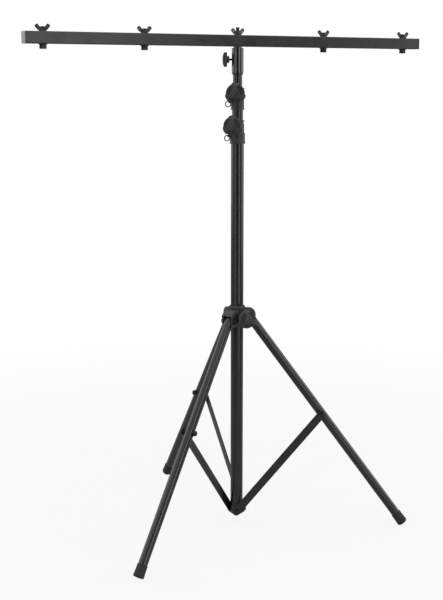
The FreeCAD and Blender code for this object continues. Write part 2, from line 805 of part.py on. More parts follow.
def hub():
    """Sliding hub: sleeve with a tapered neck, three hooded lugs and the clamp boss."""
    bore = outer_r + hub_clearance
    wall_r = bore + hub_sleeve_wall
    z0 = hub_pivot_z - hub_bottom_drop
    z1 = hub_pivot_z + hub_top_rise
    body = turned(
        [
            (0, z0),
            (wall_r + hub_bottom_lip, z0),
            (wall_r + hub_bottom_lip, z0 + hub_bottom_lip_height),
            (wall_r, z0 + hub_bottom_lip_height),
            (wall_r, z1),
            (hub_neck_radius, z1),
            (hub_neck_radius, z1 + hub_neck_height / 2),
            (hub_neck_top_radius, z1 + hub_neck_height),
            (0, z1 + hub_neck_height),
        ]
    )
    for azimuth in leg_azimuths.values():
        body = body.fuse(turn_z(hub_lug(), azimuth))
    knob_z = hub_pivot_z + hub_knob_rise
    body = body.fuse(outward(cyl(hub_boss_radius, outer_r, hub_boss_end), hub_knob_azimuth, knob_z))
    body = body.cut(cyl(bore, z0, z1 + hub_neck_height))
    for azimuth in leg_azimuths.values():
        body = body.cut(turn_z(hub_pocket(), azimuth))
        bolt_hole = cyl(pivot_bolt_radius, -hub_lug_reach, hub_lug_reach)
        body = body.cut(turn_z(sideways(bolt_hole, leg_pivot_radius, hub_pivot_z), azimuth))
    screw_hole = cyl(clamp_screw_radius + running_clearance, outer_r, 2 * hub_boss_end)
    return body.cut(outward(screw_hole, hub_knob_azimuth, knob_z)).removeSplitter()


def build_mast():
    export("outer_tube", outer_tube())
    export("foot_plug", foot_plug())
    export("lower_bush", bush(outer_r, middle_r, outer_tube_top_z, lower_pin_z))
    low = collar(lower_collar_form, outer_r, middle_r, outer_tube_top_z, lower_knob_azimuth, lower_pin_z)
    export("lower_collar", low)
    bolts = []
    for azimuth in leg_azimuths.values():
        bolts += [outward(s, azimuth - 90, lower_pivot_z) for s in foot_bolt()]
    export("brace_foot_bolts", *bolts)
    export("middle_tube", middle_tube())
    export("middle_guide", guide(middle_r, outer_bore_r, middle_tube_bottom_z))
    export("upper_bush", bush(middle_r, top_r, middle_tube_top_z, upper_pin_z))
    up = collar(upper_collar_form, middle_r, top_r, middle_tube_top_z, upper_knob_azimuth, upper_pin_z)
    export("upper_collar", up)
    export("top_tube", top_tube())
    export("top_guide", guide(top_r, middle_bore_r, top_tube_bottom_z))
    export("top_socket", top_socket())


def build_clamps():
    low_z = lower_collar_top_z - collar_knob_drop
    up_z = upper_collar_top_z - collar_knob_drop
    hub_z = hub_pivot_z + hub_knob_rise
    clamp_set("lower_clamp", middle_r + stop_gap, collar_boss_end, lower_knob_azimuth, low_z, lower_knob_spin)
    clamp_set("upper_clamp", top_r + stop_gap, collar_boss_end, upper_knob_azimuth, up_z, upper_knob_spin)
    clamp_set("hub_clamp", outer_r + hub_pad_gap, hub_boss_end, hub_knob_azimuth, hub_z, hub_knob_spin)
    star_set()
    low_surface = outer_r + lower_collar_form["low_wall"]
    up_surface = middle_r + upper_collar_form["low_wall"]
    safety_pin("lower_safety", middle_r, low_surface, lower_pin_z, lower_ring_droop)
    safety_pin("upper_safety", top_r, up_surface, upper_pin_z, upper_ring_droop)


def build_bar():
    export("bar_spigot", bar_spigot())
    export("t_bar", t_bar())
    export("bar_end_caps", end_cap(-1), end_cap(1))
    export("centre_bolt", cyl(bolt_radius, bar_bottom_z - centre_bolt_depth, bar_top_z + centre_bolt_rise))
    washers = []
    for x in [0.0] + list(bolt_positions.values()):
        washers.append(
            ring(washer_radius, bolt_radius + bar_hole_clearance, bar_top_z, bar_top_z + washer_thickness, x)
        )
    export("wing_nut_washers", *washers)
    export("centre_wing_nut", wing_nut(0.0, wing_azimuths["centre"]))
    for number, x in bolt_positions.items():
        export("hanging_bolt_" + number, *hanging_bolt(x))
        export("wing_nut_" + number, wing_nut(x, wing_azimuths[number]))


def build_base():
    export("hub", hub())
    bolts = []
    for azimuth in leg_azimuths.values():
        for solid in hub_pivot_set():
            bolts.append(turn_z(sideways(solid, leg_pivot_radius, hub_pivot_z), azimuth))
    export("hub_pivot_bolts", *bolts)
    for name, azimuth in leg_azimuths.items():
        clearance = pivot_clearance if name == "right" else open_pivot_clearance
        export("leg_" + name, turn_z(leg_tube(clearance), azimuth))
        export("leg_plug_" + name, turn_z(leg_plug(clearance), azimuth))
        export("foot_" + name, turn_z(rubber_foot(), azimuth))
        export("brace_" + name, turn_z(brace(), azimuth))
        solids = [turn_z(sideways(s, brace_pivot_r, brace_pivot_z), azimuth) for s in brace_pivot_set()]
        export("brace_bolt_" + name, *solids)


os.makedirs("parts", exist_ok=True)
build_mast()
build_clamps()
build_bar()
build_base()
print("nodes", len(parts))
print("hub pivot height", round(hub_pivot_z, 2), "leg length", round(leg_length, 2))
print("brace pivot", round(brace_pivot_r, 2), round(brace_pivot_z, 2))
print("brace length", round(brace_length, 2), "lean", round(brace_lean, 3))
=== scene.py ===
import json
import math

import bmesh
import bpy
import numpy as np
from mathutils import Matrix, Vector


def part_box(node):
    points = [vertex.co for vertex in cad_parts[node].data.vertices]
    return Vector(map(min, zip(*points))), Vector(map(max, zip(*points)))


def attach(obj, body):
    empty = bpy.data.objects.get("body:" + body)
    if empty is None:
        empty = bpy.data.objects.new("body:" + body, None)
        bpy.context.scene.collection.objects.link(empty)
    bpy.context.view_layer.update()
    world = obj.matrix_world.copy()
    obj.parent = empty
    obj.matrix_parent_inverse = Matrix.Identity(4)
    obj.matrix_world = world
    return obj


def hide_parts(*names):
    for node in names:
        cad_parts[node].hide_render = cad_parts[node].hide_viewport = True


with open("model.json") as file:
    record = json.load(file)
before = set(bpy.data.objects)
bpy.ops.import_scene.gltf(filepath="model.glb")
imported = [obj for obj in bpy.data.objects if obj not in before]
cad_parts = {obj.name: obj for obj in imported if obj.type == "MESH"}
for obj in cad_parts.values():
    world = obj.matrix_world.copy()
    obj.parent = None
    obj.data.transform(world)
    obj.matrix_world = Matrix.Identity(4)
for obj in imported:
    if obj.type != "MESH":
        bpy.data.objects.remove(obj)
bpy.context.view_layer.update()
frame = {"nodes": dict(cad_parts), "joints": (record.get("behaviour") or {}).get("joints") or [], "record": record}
mm = 0.001
nodes = frame["nodes"]
joints = {joint["name"]: joint for joint in frame["joints"]}
bodyOf = {node: body for body, names in frame["record"]["behaviour"]["bodies"].items() for node in names}


# studio
studio = {
    "cameraPlace": (-1.60697, -2.79454, 1.25902),
    "cameraAim": (-0.0378, 0.0212, 0.6526),
    "lens": 70.536,
    "sensor": 36.0,
    "levelHeight": 1.2,
    "levelReach": 1.5,
    "ambient": 0.55,
    "floorRadius": 60.0,
    "floorSides": 96,
    "floorColour": (0.62, 0.62, 0.62, 1),
    "glowNear": 0.86,
    "glowFrom": 0.8,
    "glowTo": 2.6,
}

# bearing is measured from the camera's side of the stand, positive to the right; distances in metres
softboxes = {
    "leftWall": {"bearing": -112, "distance": 2.4, "height": 1.6, "size": (2.6, 2.0), "radiance": 1.25},
    "leftStrip": {"bearing": -31, "distance": 2.4, "height": 1.3, "size": (0.42, 2.6), "radiance": 2.3},
    "rightStrip": {"bearing": 39, "distance": 2.4, "height": 1.3, "size": (0.6, 2.6), "radiance": 2.5},
    "rightWall": {"bearing": 104, "distance": 2.6, "height": 1.5, "size": (2.2, 2.2), "radiance": 1.5},
    "overhead": {"bearing": 0, "distance": 0.3, "height": 3.2, "size": (2.4, 2.4), "radiance": 1.2},
}
darkFlags = {
    "behindCamera": {"bearing": -4, "distance": 3.9, "height": 1.2, "size": (2.9, 5.0)},
    "backdrop": {"bearing": 180, "distance": 2.7, "height": 1.2, "size": (6.4, 4.4)},
    "rightGap": {"bearing": 61, "distance": 2.3, "height": 1.4, "size": (0.64, 2.6)},
}


def fullTurn(count):
    return np.arange(count) * 2 * np.pi / count


def studioPlace(bearing, distance, height):
    # A point on a circle about the mast: cos(bearing) towards the camera plus sin(bearing) to its right.
    x, y, _ = studio["cameraPlace"]
    reach = math.hypot(x, y)
    near, right = np.array([x, y]) / reach, np.array([-y, x]) / reach
    turn = math.radians(bearing)
    spot = distance * (math.cos(turn) * near + math.sin(turn) * right)
    return Vector((spot[0], spot[1], height))


def faceMast(panel, place):
    # A panel near the stand's height faces the mast level, one far above it faces the mast's foot.
    isLevel = abs(place.z - studio["levelHeight"]) < studio["levelReach"]
    target = Vector((0, 0, place.z if isLevel else 0))
    panel.location = place
    panel.rotation_euler = (target - place).to_track_quat("-Z", "Y").to_euler()


def makeCamera():
    data = bpy.data.cameras.new("photoCamera")
    data.lens = studio["lens"]
    data.sensor_fit = "VERTICAL"
    data.sensor_height = studio["sensor"]
    data.sensor_width = studio["sensor"]
    camera = bpy.data.objects.new("photoCamera", data)
    bpy.context.scene.collection.objects.link(camera)
    camera.location = studio["cameraPlace"]
    sight = Vector(studio["cameraAim"]) - Vector(studio["cameraPlace"])
    camera.rotation_euler = sight.to_track_quat("-Z", "Y").to_euler()
    bpy.context.scene.camera = camera


def whiteForSight(tree, seen):
    # One where the camera, a mirror reflection or a transmitted ray looks, zero for light that falls.
    path = tree.nodes.new("ShaderNodeLightPath")
    value = path.outputs[seen[0]]
    for output in seen[1:]:
        larger = tree.nodes.new("ShaderNodeMath")
        larger.operation = "MAXIMUM"
        tree.links.new(value, larger.inputs[0])
        tree.links.new(path.outputs[output], larger.inputs[1])
        value = larger.outputs[0]
    return value


def makeWorld():
    world = bpy.data.worlds.new("whiteStudio")
    bpy.context.scene.world = world
    world.use_nodes = True
    tree = world.node_tree
    tree.nodes.clear()
    sky = tree.nodes.new("ShaderNodeBackground")
    sky.inputs["Color"].default_value = (1, 1, 1, 1)
    sky.inputs["Strength"].default_value = studio["ambient"]
    white = tree.nodes.new("ShaderNodeBackground")
    white.inputs["Color"].default_value = (1, 1, 1, 1)
    white.inputs["Strength"].default_value = 1.0
    mix = tree.nodes.new("ShaderNodeMixShader")
    out = tree.nodes.new("ShaderNodeOutputWorld")
    sight = whiteForSight(tree, ["Is Camera Ray", "Is Glossy Ray", "Is Transmission Ray"])
    tree.links.new(sight, mix.inputs[0])
    tree.links.new(sky.outputs[0], mix.inputs[1])
    tree.links.new(white.outputs[0], mix.inputs[2])
    tree.links.new(mix.outputs[0], out.inputs[0])


def makeFloor():
    count = studio["floorSides"]
    turn = fullTurn(count)
    rim = np.stack([np.cos(turn), np.sin(turn), np.zeros(count)], -1) * studio["floorRadius"]
    mesh = bpy.data.meshes.new("floor")
    mesh.from_pydata(rim.tolist(), [], [list(range(count))])
    floor = bpy.data.objects.new("floor", mesh)
    bpy.context.scene.collection.objects.link(floor)
    material = bpy.data.materials.new("paleFloor")
    material.use_nodes = True
    tree = material.node_tree
    tree.nodes.clear()
    diffuse = tree.nodes.new("ShaderNodeBsdfDiffuse")
    diffuse.inputs["Color"].default_value = studio["floorColour"]
    glow = tree.nodes.new("ShaderNodeEmission")
    glow.inputs["Strength"].default_value = 1.0
    # the glow grows with the distance from the stand, so that the far floor meets the white sky
    place = tree.nodes.new("ShaderNodeTexCoord")
    reach = tree.nodes.new("ShaderNodeVectorMath")
    reach.operation = "LENGTH"
    tree.links.new(place.outputs["Object"], reach.inputs[0])
    glowing = tree.nodes.new("ShaderNodeMapRange")
    limits = (studio["glowFrom"], studio["glowTo"], studio["glowNear"], 1.0)
    tree.links.new(reach.outputs["Value"], glowing.inputs[0])
    for socket, limit in zip(list(glowing.inputs)[1:5], limits):
        socket.default_value = limit
    share = tree.nodes.new("ShaderNodeMath")
    share.operation = "MULTIPLY"
    tree.links.new(glowing.outputs[0], share.inputs[1])
    mix = tree.nodes.new("ShaderNodeMixShader")
    out = tree.nodes.new("ShaderNodeOutputMaterial")
    tree.links.new(whiteForSight(tree, ["Is Camera Ray"]), share.inputs[0])
    tree.links.new(share.outputs[0], mix.inputs[0])
    tree.links.new(diffuse.outputs[0], mix.inputs[1])
    tree.links.new(glow.outputs[0], mix.inputs[2])
    tree.links.new(mix.outputs[0], out.inputs[0])
    mesh.materials.append(material)


def makeLights():
    for name, box in softboxes.items():
        data = bpy.data.lights.new(name, "AREA")
        data.shape = "RECTANGLE"
        data.size, data.size_y = box["size"]
        data.energy = box["radiance"] * math.pi * box["size"][0] * box["size"][1]
        lamp = bpy.data.objects.new(name, data)
        bpy.context.scene.collection.objects.link(lamp)
        faceMast(lamp, studioPlace(box["bearing"], box["distance"], box["height"]))
        lamp.visible_camera = False


def makeFlags():
    black = bpy.data.materials.new("blackFlag")
    black.use_nodes = True
    shader = black.node_tree.nodes["Principled BSDF"]
    shader.inputs["Base Color"].default_value = (0, 0, 0, 1)
    shader.inputs["Specular IOR Level"].default_value = 0
    for name, flag in darkFlags.items():
        x, y = flag["size"][0] / 2, flag["size"][1] / 2
        mesh = bpy.data.meshes.new(name)
        mesh.from_pydata([(-x, -y, 0), (x, -y, 0), (x, y, 0), (-x, y, 0)], [], [(0, 1, 2, 3)])
        mesh.materials.append(black)
        panel = bpy.data.objects.new(name, mesh)
        bpy.context.scene.collection.objects.link(panel)
        faceMast(panel, studioPlace(flag["bearing"], flag["distance"], flag["height"]))
        panel.visible_camera = False
        panel.visible_diffuse = False
        panel.visible_shadow = False


makeCamera()
makeWorld()
makeFloor()
makeLights()
makeFlags()
bpy.context.scene.view_settings.view_transform = "Standard"
print("studio ready")


# finishes
finishDetail = {
    "cloudBand": (0.35, 0.65),  # noise between which the colour goes from deep to light
    "glossBand": (0.3, 0.7),
    "scuffFade": 0.08,
    "speckRadius": 0.13,
    "speckPatchScale": 23.0,
    "speckPatchBand": (0.5, 0.7),
    "speckRough": 0.3,
    "wornScale": 260.0,
    "wornBand": (0.3, 0.7),
    "wornLeast": 0.35,
    "scuffDepth": 0.25,
}


class Tree:
    # Short calls for wiring one material's nodes.
    def __init__(self, name):
        self.material = bpy.data.materials.new(name)
        self.material.use_nodes = True
        self.tree = self.material.node_tree
        self.shader = self.tree.nodes["Principled BSDF"]
        self.coords = self.add("TexCoord").outputs["Object"]

    def add(self, kind, **settings):
        made = self.tree.nodes.new("ShaderNode" + kind)
        for key, value in settings.items():
            setattr(made, key, value)
        return made

    def feed(self, socket, value):
        if isinstance(value, bpy.types.NodeSocket):
            self.tree.links.new(value, socket)
        else:
            socket.default_value = value

    def math(self, operation, first, second=0.0):
        made = self.add("Math", operation=operation)
        self.feed(made.inputs[0], first)
        self.feed(made.inputs[1], second)
        return made.outputs[0]

    def noise(self, vector, scale, detail=3.0, roughness=0.5):
        made = self.add("TexNoise")
        self.feed(made.inputs["Vector"], vector)
        made.inputs["Scale"].default_value = scale
        made.inputs["Detail"].default_value = detail
        made.inputs["Roughness"].default_value = roughness
        return made.outputs["Fac"]

    def spread(self, value, low, high, outLow=0.0, outHigh=1.0):
        made = self.add("MapRange", clamp=True)
        for socket, number in zip(made.inputs, (value, low, high, outLow, outHigh)):
            self.feed(socket, number)
        return made.outputs[0]

    def stretched(self, direction, across, along):
        # Turns Object coordinates so that a direction lies on Z, then scales Z apart from X and Y.
        turn = Vector(direction).to_track_quat("Z", "Y").inverted().to_euler()
        turned = self.add("Mapping")
        turned.inputs["Rotation"].default_value = turn
        self.tree.links.new(self.coords, turned.inputs["Vector"])
        scaled = self.add("VectorMath", operation="MULTIPLY")
        self.tree.links.new(turned.outputs[0], scaled.inputs[0])
        scaled.inputs[1].default_value = (across, across, along)
        return scaled.outputs[0]

    def blend(self, share, first, second):
        made = self.add("Mix", data_type="RGBA")
        self.feed(made.inputs[0], share)
        self.feed(made.inputs[6], first)
        self.feed(made.inputs[7], second)
        return made.outputs[2]


def makeFinish(name, look, direction=(0, 0, 1)):
    # Clouds vary colour and gloss, a fine grain raises the surface, streaks along one direction and
    # scattered specks scuff it, and the wear attribute brightens convex edges.
    detail = finishDetail
    tree = Tree(name)
    clouds = tree.noise(tree.coords, look["cloudScale"], 4.0)
    colour = tree.blend(tree.spread(clouds, *detail["cloudBand"]), (*look["deep"], 1), (*look["light"], 1))
    streaks = tree.noise(tree.stretched(direction, look["streakAcross"], look["streakAlong"]), 1.0, 2.0)
    scuffs = tree.spread(streaks, look["scuffFrom"], look["scuffFrom"] + detail["scuffFade"])
    cells = tree.add("TexVoronoi")
    tree.feed(cells.inputs["Vector"], tree.coords)
    cells.inputs["Scale"].default_value = look["speckScale"]
    specks = tree.spread(cells.outputs["Distance"], 0.0, detail["speckRadius"], look["speckShare"], 0.0)
    patches = tree.spread(tree.noise(tree.coords, detail["speckPatchScale"]), *detail["speckPatchBand"])
    specks = tree.math("MULTIPLY", specks, patches)
    worn = tree.add("Attribute", attribute_name="wear").outputs["Fac"]
    rubbed = tree.noise(tree.coords, detail["wornScale"])
    worn = tree.math("MULTIPLY", worn, tree.spread(rubbed, *detail["wornBand"], detail["wornLeast"], 1.0))
    colour = tree.blend(tree.math("MULTIPLY", scuffs, look["scuffShare"]), colour, (*look["scuffed"], 1))
    colour = tree.blend(specks, colour, (*look["dust"], 1))
    colour = tree.blend(tree.math("MULTIPLY", worn, look["wornShare"]), colour, (*look["worn"], 1))
    tree.feed(tree.shader.inputs["Base Color"], colour)
    gloss = tree.spread(clouds, *detail["glossBand"], look["roughLow"], look["roughHigh"])
    gloss = tree.math("ADD", gloss, tree.math("MULTIPLY", scuffs, look["scuffRough"]))
    gloss = tree.math("ADD", gloss, tree.math("MULTIPLY", specks, detail["speckRough"]))
    tree.feed(tree.shader.inputs["Roughness"], gloss)
    grain = tree.noise(tree.coords, look["grainScale"], 2.0, look["grainRough"])
    height = tree.math("SUBTRACT", grain, tree.math("MULTIPLY", scuffs, detail["scuffDepth"]))
    bump = tree.add("Bump")
    bump.inputs["Strength"].default_value = look["grainStrength"]
    bump.inputs["Distance"].default_value = look["grainDepth"] * mm
    tree.feed(bump.inputs["Height"], height)
    tree.feed(tree.shader.inputs["Normal"], bump.outputs[0])
    tree.shader.inputs["Metallic"].default_value = look["metallic"]
    tree.shader.inputs["IOR"].default_value = look["ior"]
    return tree.material


# colours are linear; scales are per metre; depths are in millimetres
paintLook = {
    "deep": (0.0034, 0.0033, 0.0036),
    "light": (0.0062, 0.006, 0.0064),
    "scuffed": (0.02, 0.0195, 0.0195),
    "worn": (0.04, 0.039, 0.038),
    "dust": (0.12, 0.117, 0.11),
    "cloudScale": 26.0,
    "streakAcross": 420.0,
    "streakAlong": 9.0,
    "scuffFrom": 0.64,
    "scuffShare": 0.45,
    "scuffRough": 0.14,
    "speckScale": 420.0,
    "speckShare": 0.3,
    "wornShare": 0.5,
    "roughLow": 0.21,
    "roughHigh": 0.3,
    "grainScale": 1100.0,
    "grainRough": 0.45,
    "grainStrength": 0.35,
    "grainDepth": 0.035,
    "metallic": 0.0,
    "ior": 1.52,
}
barLook = {
    **paintLook,
    "deep": (0.0068, 0.0062, 0.0064),
    "light": (0.0105, 0.0096, 0.0098),
    "roughLow": 0.3,
    "roughHigh": 0.4,
    "grainDepth": 0.05,
    "streakAcross": 300.0,
    "streakAlong": 7.0,
}
socketLook = {
    **paintLook,
    "deep": (0.012, 0.0118, 0.012),
    "light": (0.018, 0.0177, 0.018),
    "scuffed": (0.05, 0.049, 0.048),
    "roughLow": 0.14,
    "roughHigh": 0.22,
    "grainDepth": 0.012,
    "ior": 1.62,
}
mouldedLook = {
    **paintLook,
    "deep": (0.016, 0.016, 0.0172),
    "light": (0.024, 0.024, 0.0255),
    "scuffed": (0.045, 0.045, 0.046),
    "worn": (0.09, 0.09, 0.092),
    "cloudScale": 60.0,
    "streakAcross": 160.0,
    "streakAlong": 60.0,
    "scuffFrom": 0.7,
    "scuffShare": 0.3,
    "roughLow": 0.44,
    "roughHigh": 0.56,
    "grainScale": 1900.0,
    "grainRough": 0.7,
    "grainStrength": 0.7,
    "grainDepth": 0.06,
    "wornShare": 0.55,
    "ior": 1.46,
}
capLook = {
    **mouldedLook,
    "deep": (0.006, 0.0059, 0.006),
    "light": (0.01, 0.0098, 0.01),
    "roughLow": 0.2,
    "roughHigh": 0.3,
    "grainDepth": 0.02,
}
nylonLook = {
    **mouldedLook,
    "deep": (0.2, 0.2, 0.195),
    "light": (0.26, 0.26, 0.255),
    "roughLow": 0.36,
    "roughHigh": 0.46,
}
rubberLook = {
    **mouldedLook,
    "deep": (0.0085, 0.0085, 0.0085),
    "light": (0.015, 0.0148, 0.0145),
    "scuffed": (0.05, 0.048, 0.045),
    "worn": (0.055, 0.053, 0.05),
    "roughLow": 0.6,
    "roughHigh": 0.78,
    "grainScale": 900.0,
    "grainDepth": 0.12,
    "scuffFrom": 0.62,
}
steelLook = {
    **paintLook,
    "deep": (0.014, 0.014, 0.0145),
    "light": (0.03, 0.0295, 0.03),
    "scuffed": (0.09, 0.086, 0.083),
    "worn": (0.22, 0.212, 0.208),
    "cloudScale": 90.0,
    "streakAcross": 700.0,
    "streakAlong": 120.0,
    "scuffFrom": 0.6,
    "roughLow": 0.26,
    "roughHigh": 0.42,
    "grainScale": 1500.0,
    "grainDepth": 0.03,
    "metallic": 0.75,
    "wornShare": 0.6,
}
brassLook = {
    **steelLook,
    "deep": (0.5, 0.38, 0.16),
    "light": (0.62, 0.49, 0.23),
    "scuffed": (0.7, 0.58, 0.33),
    "worn": (0.78, 0.66, 0.4),
    "metallic": 1.0,
}
wireLook = {
    **steelLook,
    "deep": (0.02, 0.02, 0.0205),
    "light": (0.04, 0.0395, 0.04),
    "scuffed": (0.12, 0.117, 0.112),
    "worn": (0.3, 0.29, 0.28),
    "roughLow": 0.2,
    "roughHigh": 0.3,
    "metallic": 1.0,
}
finishes = {
    "tube_paint": makeFinish("tubePaint", paintLook),
    "bar_paint": makeFinish("barPaint", barLook, (1, 0, 0)),
    "socket_metal": makeFinish("socketGloss", socketLook),
    "moulded_plastic": makeFinish("mouldedPlastic", mouldedLook),
    "cap_plastic": makeFinish("capPlastic", capLook),
    "bush_plastic": makeFinish("bushNylon", nylonLook),
    "black_steel": makeFinish("blackZinc", steelLook),
    "pad_brass": makeFinish("padBrass", brassLook),
    "ring_steel": makeFinish("ringWire", wireLook),
    "foot_rubber": makeFinish("footRubber", rubberLook),
}
print("finishes ready:", len(finishes))


def paintNode(node, material):
    mesh = nodes[node].data
    mesh.materials.clear()
    mesh.materials.append(material)


# surfaces
def signedVolume(points, corners):
    first, second, third = (points[corners[:, k]] for k in range(3))
    return float((first * np.cross(second, third)).sum()) / 6


def shell(rings, loop=False):
    # A closed skin through rings of points: quads join each ring to the next. With loop the last ring
    # joins the first, otherwise a fan closes each end on the mean of its ring. Faces are turned over
    # when the volume inside comes out negative.
    rings = np.asarray(rings, float)
    count, around = rings.shape[:2]
    row = np.arange(count if loop else count - 1)[:, None]
    column = np.arange(around)[None, :]
    nextRow, nextColumn = (row + 1) % count, (column + 1) % around
    corners = (row * around + column, row * around + nextColumn)
    corners += (nextRow * around + nextColumn, nextRow * around + column)
    quads = np.stack(corners, -1).reshape(-1, 4)
    points = rings.reshape(-1, 3)
    fans = np.zeros((0, 3), int)
    if not loop:
        points = np.vstack([points, rings[0].mean(0), rings[-1].mean(0)])
        ring = np.arange(around)
        after = (ring + 1) % around
        base = (count - 1) * around
        low = np.stack([after, ring, np.full(around, len(points) - 2)], -1)
        high = np.stack([base + ring, base + after, np.full(around, len(points) - 1)], -1)
        fans = np.vstack([low, high])
    volume = signedVolume(points, quads[:, [0, 1, 2]]) + signedVolume(points, quads[:, [0, 2, 3]])
    volume += signedVolume(points, fans)
    if volume < 0:
        quads, fans = quads[:, ::-1], fans[:, ::-1]
    return points, quads, fans


def placed(skin, origin, along, up=(0, 0, 1)):
    # Lays a skin drawn about Z so that its Z runs along a direction and its X is as near up as can be.
    along = np.array(Vector(along).normalized())
    across = np.cross(np.array(up, float), along)
    across = across / np.linalg.norm(across)
    points = skin[0] @ np.array([np.cross(along, across), across, along]) + np.array(origin)
    return points, skin[1], skin[2]


edgeWear = {"from": 0.07, "span": 0.25}


def addWear(mesh):
    # Wear is how far a point's neighbours fall below its tangent plane, averaged over its edges.
    count = len(mesh.vertices)
    points, normals = np.empty(count * 3), np.empty(count * 3)
    mesh.vertices.foreach_get("co", points)
    mesh.vertices.foreach_get("normal", normals)
    points, normals = points.reshape(-1, 3), normals.reshape(-1, 3)
    ends = np.empty(len(mesh.edges) * 2, np.int32)
    mesh.edges.foreach_get("vertices", ends)
    first, second = ends.reshape(-1, 2).T
    step = points[first] - points[second]
    step = step / np.maximum(np.linalg.norm(step, axis=1, keepdims=True), 1e-9)
    total, hits = np.zeros(count), np.zeros(count)
    np.add.at(total, first, (step * normals[first]).sum(1))
    np.add.at(total, second, -(step * normals[second]).sum(1))
    np.add.at(hits, first, 1)
    np.add.at(hits, second, 1)
    wear = np.clip((total / np.maximum(hits, 1) - edgeWear["from"]) / edgeWear["span"], 0, 1)
    mesh.attributes.new("wear", "FLOAT", "POINT").data.foreach_set("value", wear.astype(np.float32))


def dressMesh(name, mesh, slot, stoodFor, sharp=32):
    mesh.validate()
    mesh.shade_smooth()
    mesh.set_sharp_from_angle(angle=math.radians(sharp))
    addWear(mesh)
    mesh.materials.clear()
    mesh.materials.append(finishes[slot])
    piece = bpy.data.objects.new(name, mesh)
    bpy.context.scene.collection.objects.link(piece)
    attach(piece, bodyOf[stoodFor[0]])
    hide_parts(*stoodFor)
    return piece


def makePiece(name, skins, slot, *stoodFor):
    # Puts several closed skins into one mesh that stands for CAD nodes and rides on their body.
    points, faces, offset = [], [], 0
    for part, quads, fans in skins:
        points.append(part)
        faces += (quads + offset).tolist() + (fans + offset).tolist()
        offset += len(part)
    mesh = bpy.data.meshes.new(name)
    mesh.from_pydata(np.vstack(points).tolist(), [], faces)
    return dressMesh(name, mesh, slot, stoodFor)


def softProfile(corners):
    # Corners are (radius, height, round): each is swapped for a parabola that leaves and meets its two
    # sides at the round's length, at most a share of the shorter side.
    steps, mostOfSide = 5, 0.45
    spots = np.array([corner[:2] for corner in corners], float)
    rounds = np.array([corner[2] for corner in corners], float)
    before, after = np.roll(spots, 1, 0) - spots, np.roll(spots, -1, 0) - spots
    lengthBefore, lengthAfter = np.linalg.norm(before, axis=1), np.linalg.norm(after, axis=1)
    reach = np.minimum(rounds, mostOfSide * np.minimum(lengthBefore, lengthAfter))[:, None]
    start = spots + before / lengthBefore[:, None] * reach
    end = spots + after / lengthAfter[:, None] * reach
    share = np.linspace(0, 1, steps)[None, :, None]
    curve = (1 - share) ** 2 * start[:, None] + 2 * share * (1 - share) * spots[:, None]
    curve = curve + share**2 * end[:, None]
    return curve.reshape(-1, 2)


def polarShell(radius, height, turn, loop=False):
    # Radius and height over rows and angles make rings about Z, in millimetres.
    rings = np.stack([radius * np.cos(turn), radius * np.sin(turn), height + 0 * turn], -1)
    return shell(rings * mm, loop)


def turnedSkin(corners, around=72, loop=True):
    # A profile turned about Z. As a loop it has its corners rounded, otherwise it is an open line.
    profile = softProfile(corners) if loop else np.array(corners, float)
    return polarShell(profile[:, :1], profile[:, 1:2], fullTurn(around), loop)


def rod(radius, low, high):
    # A bar with eased ends, drawn as an open profile from near the axis and back.
    bevel, core = 0.3, radius * 0.3
    return turnedSkin(
        [(core, low), (radius - bevel, low), (radius, low + bevel), (radius, high - bevel),
         (radius - bevel, high), (core, high)],
        around=40,
        loop=False,
    )


def washer(radius, bore, low, high):
    ease = 0.35
    return turnedSkin([(bore, low, ease), (radius, low, ease), (radius, high, ease), (bore, high, ease)], 56)


# lengths as shares of half the width across flats; rows are heights in from an end, in millimetres
hexForm = {
    "corner": 1.137675,
    "coneStart": 0.95,
    "coneAngle": 30.0,
    "core": 0.2,
    "rows": (0.0, 0.12, 0.28, 0.45, 0.62, 0.8, 1.0),
    "sides": 96,
}


def hexSkin(acrossFlats, low, high, bore=0.0):
    # Radius at a height and angle is the least of the hexagon's, its blunted corner's and a cone's at
    # the nearer end.
    flat = acrossFlats / 2
    turn = fullTurn(hexForm["sides"])
    hexagon = np.minimum(flat / np.cos(turn % (np.pi / 3) - np.pi / 6), flat * hexForm["corner"])
    rows = np.array(hexForm["rows"])
    heights = np.concatenate([low + rows, high - rows[::-1]])
    fromEnd = np.minimum(heights - low, high - heights)
    cone = flat * hexForm["coneStart"] + fromEnd / math.tan(math.radians(hexForm["coneAngle"]))
    radius = np.minimum(hexagon[None, :], cone[:, None])
    core = np.full((1, len(turn)), max(bore, flat * hexForm["core"]))
    radius = np.vstack([core, radius, core])
    heights = np.concatenate([[low], heights, [high]])
    return polarShell(radius, heights[:, None], turn, loop=bore > 0)


threadForm = {"sides": 36, "rowsPerPitch": 6, "steepness": 1.25, "crest": 0.12}


def threadSkin(radius, pitch, low, high, depth=0.6, chamfer=0.9):
    # Radius falls by a triangle wave of height over pitch less angle over a turn, and by a chamfer.
    form = threadForm
    turn = fullTurn(form["sides"])
    heights = np.arange(low, high, pitch / form["rowsPerPitch"])
    heights = np.append(heights, high)
    phase = (heights[:, None] / pitch - turn[None, :] / (2 * np.pi)) % 1
    groove = depth * np.clip(form["steepness"] * np.abs(2 * phase - 1) - form["crest"], 0, 1)
    fromEnd = np.minimum(heights - low, high - heights)[:, None]
    radius = radius - np.maximum(groove, chamfer - fromEnd)
    return polarShell(radius, heights[:, None], turn)


slabSides = 64


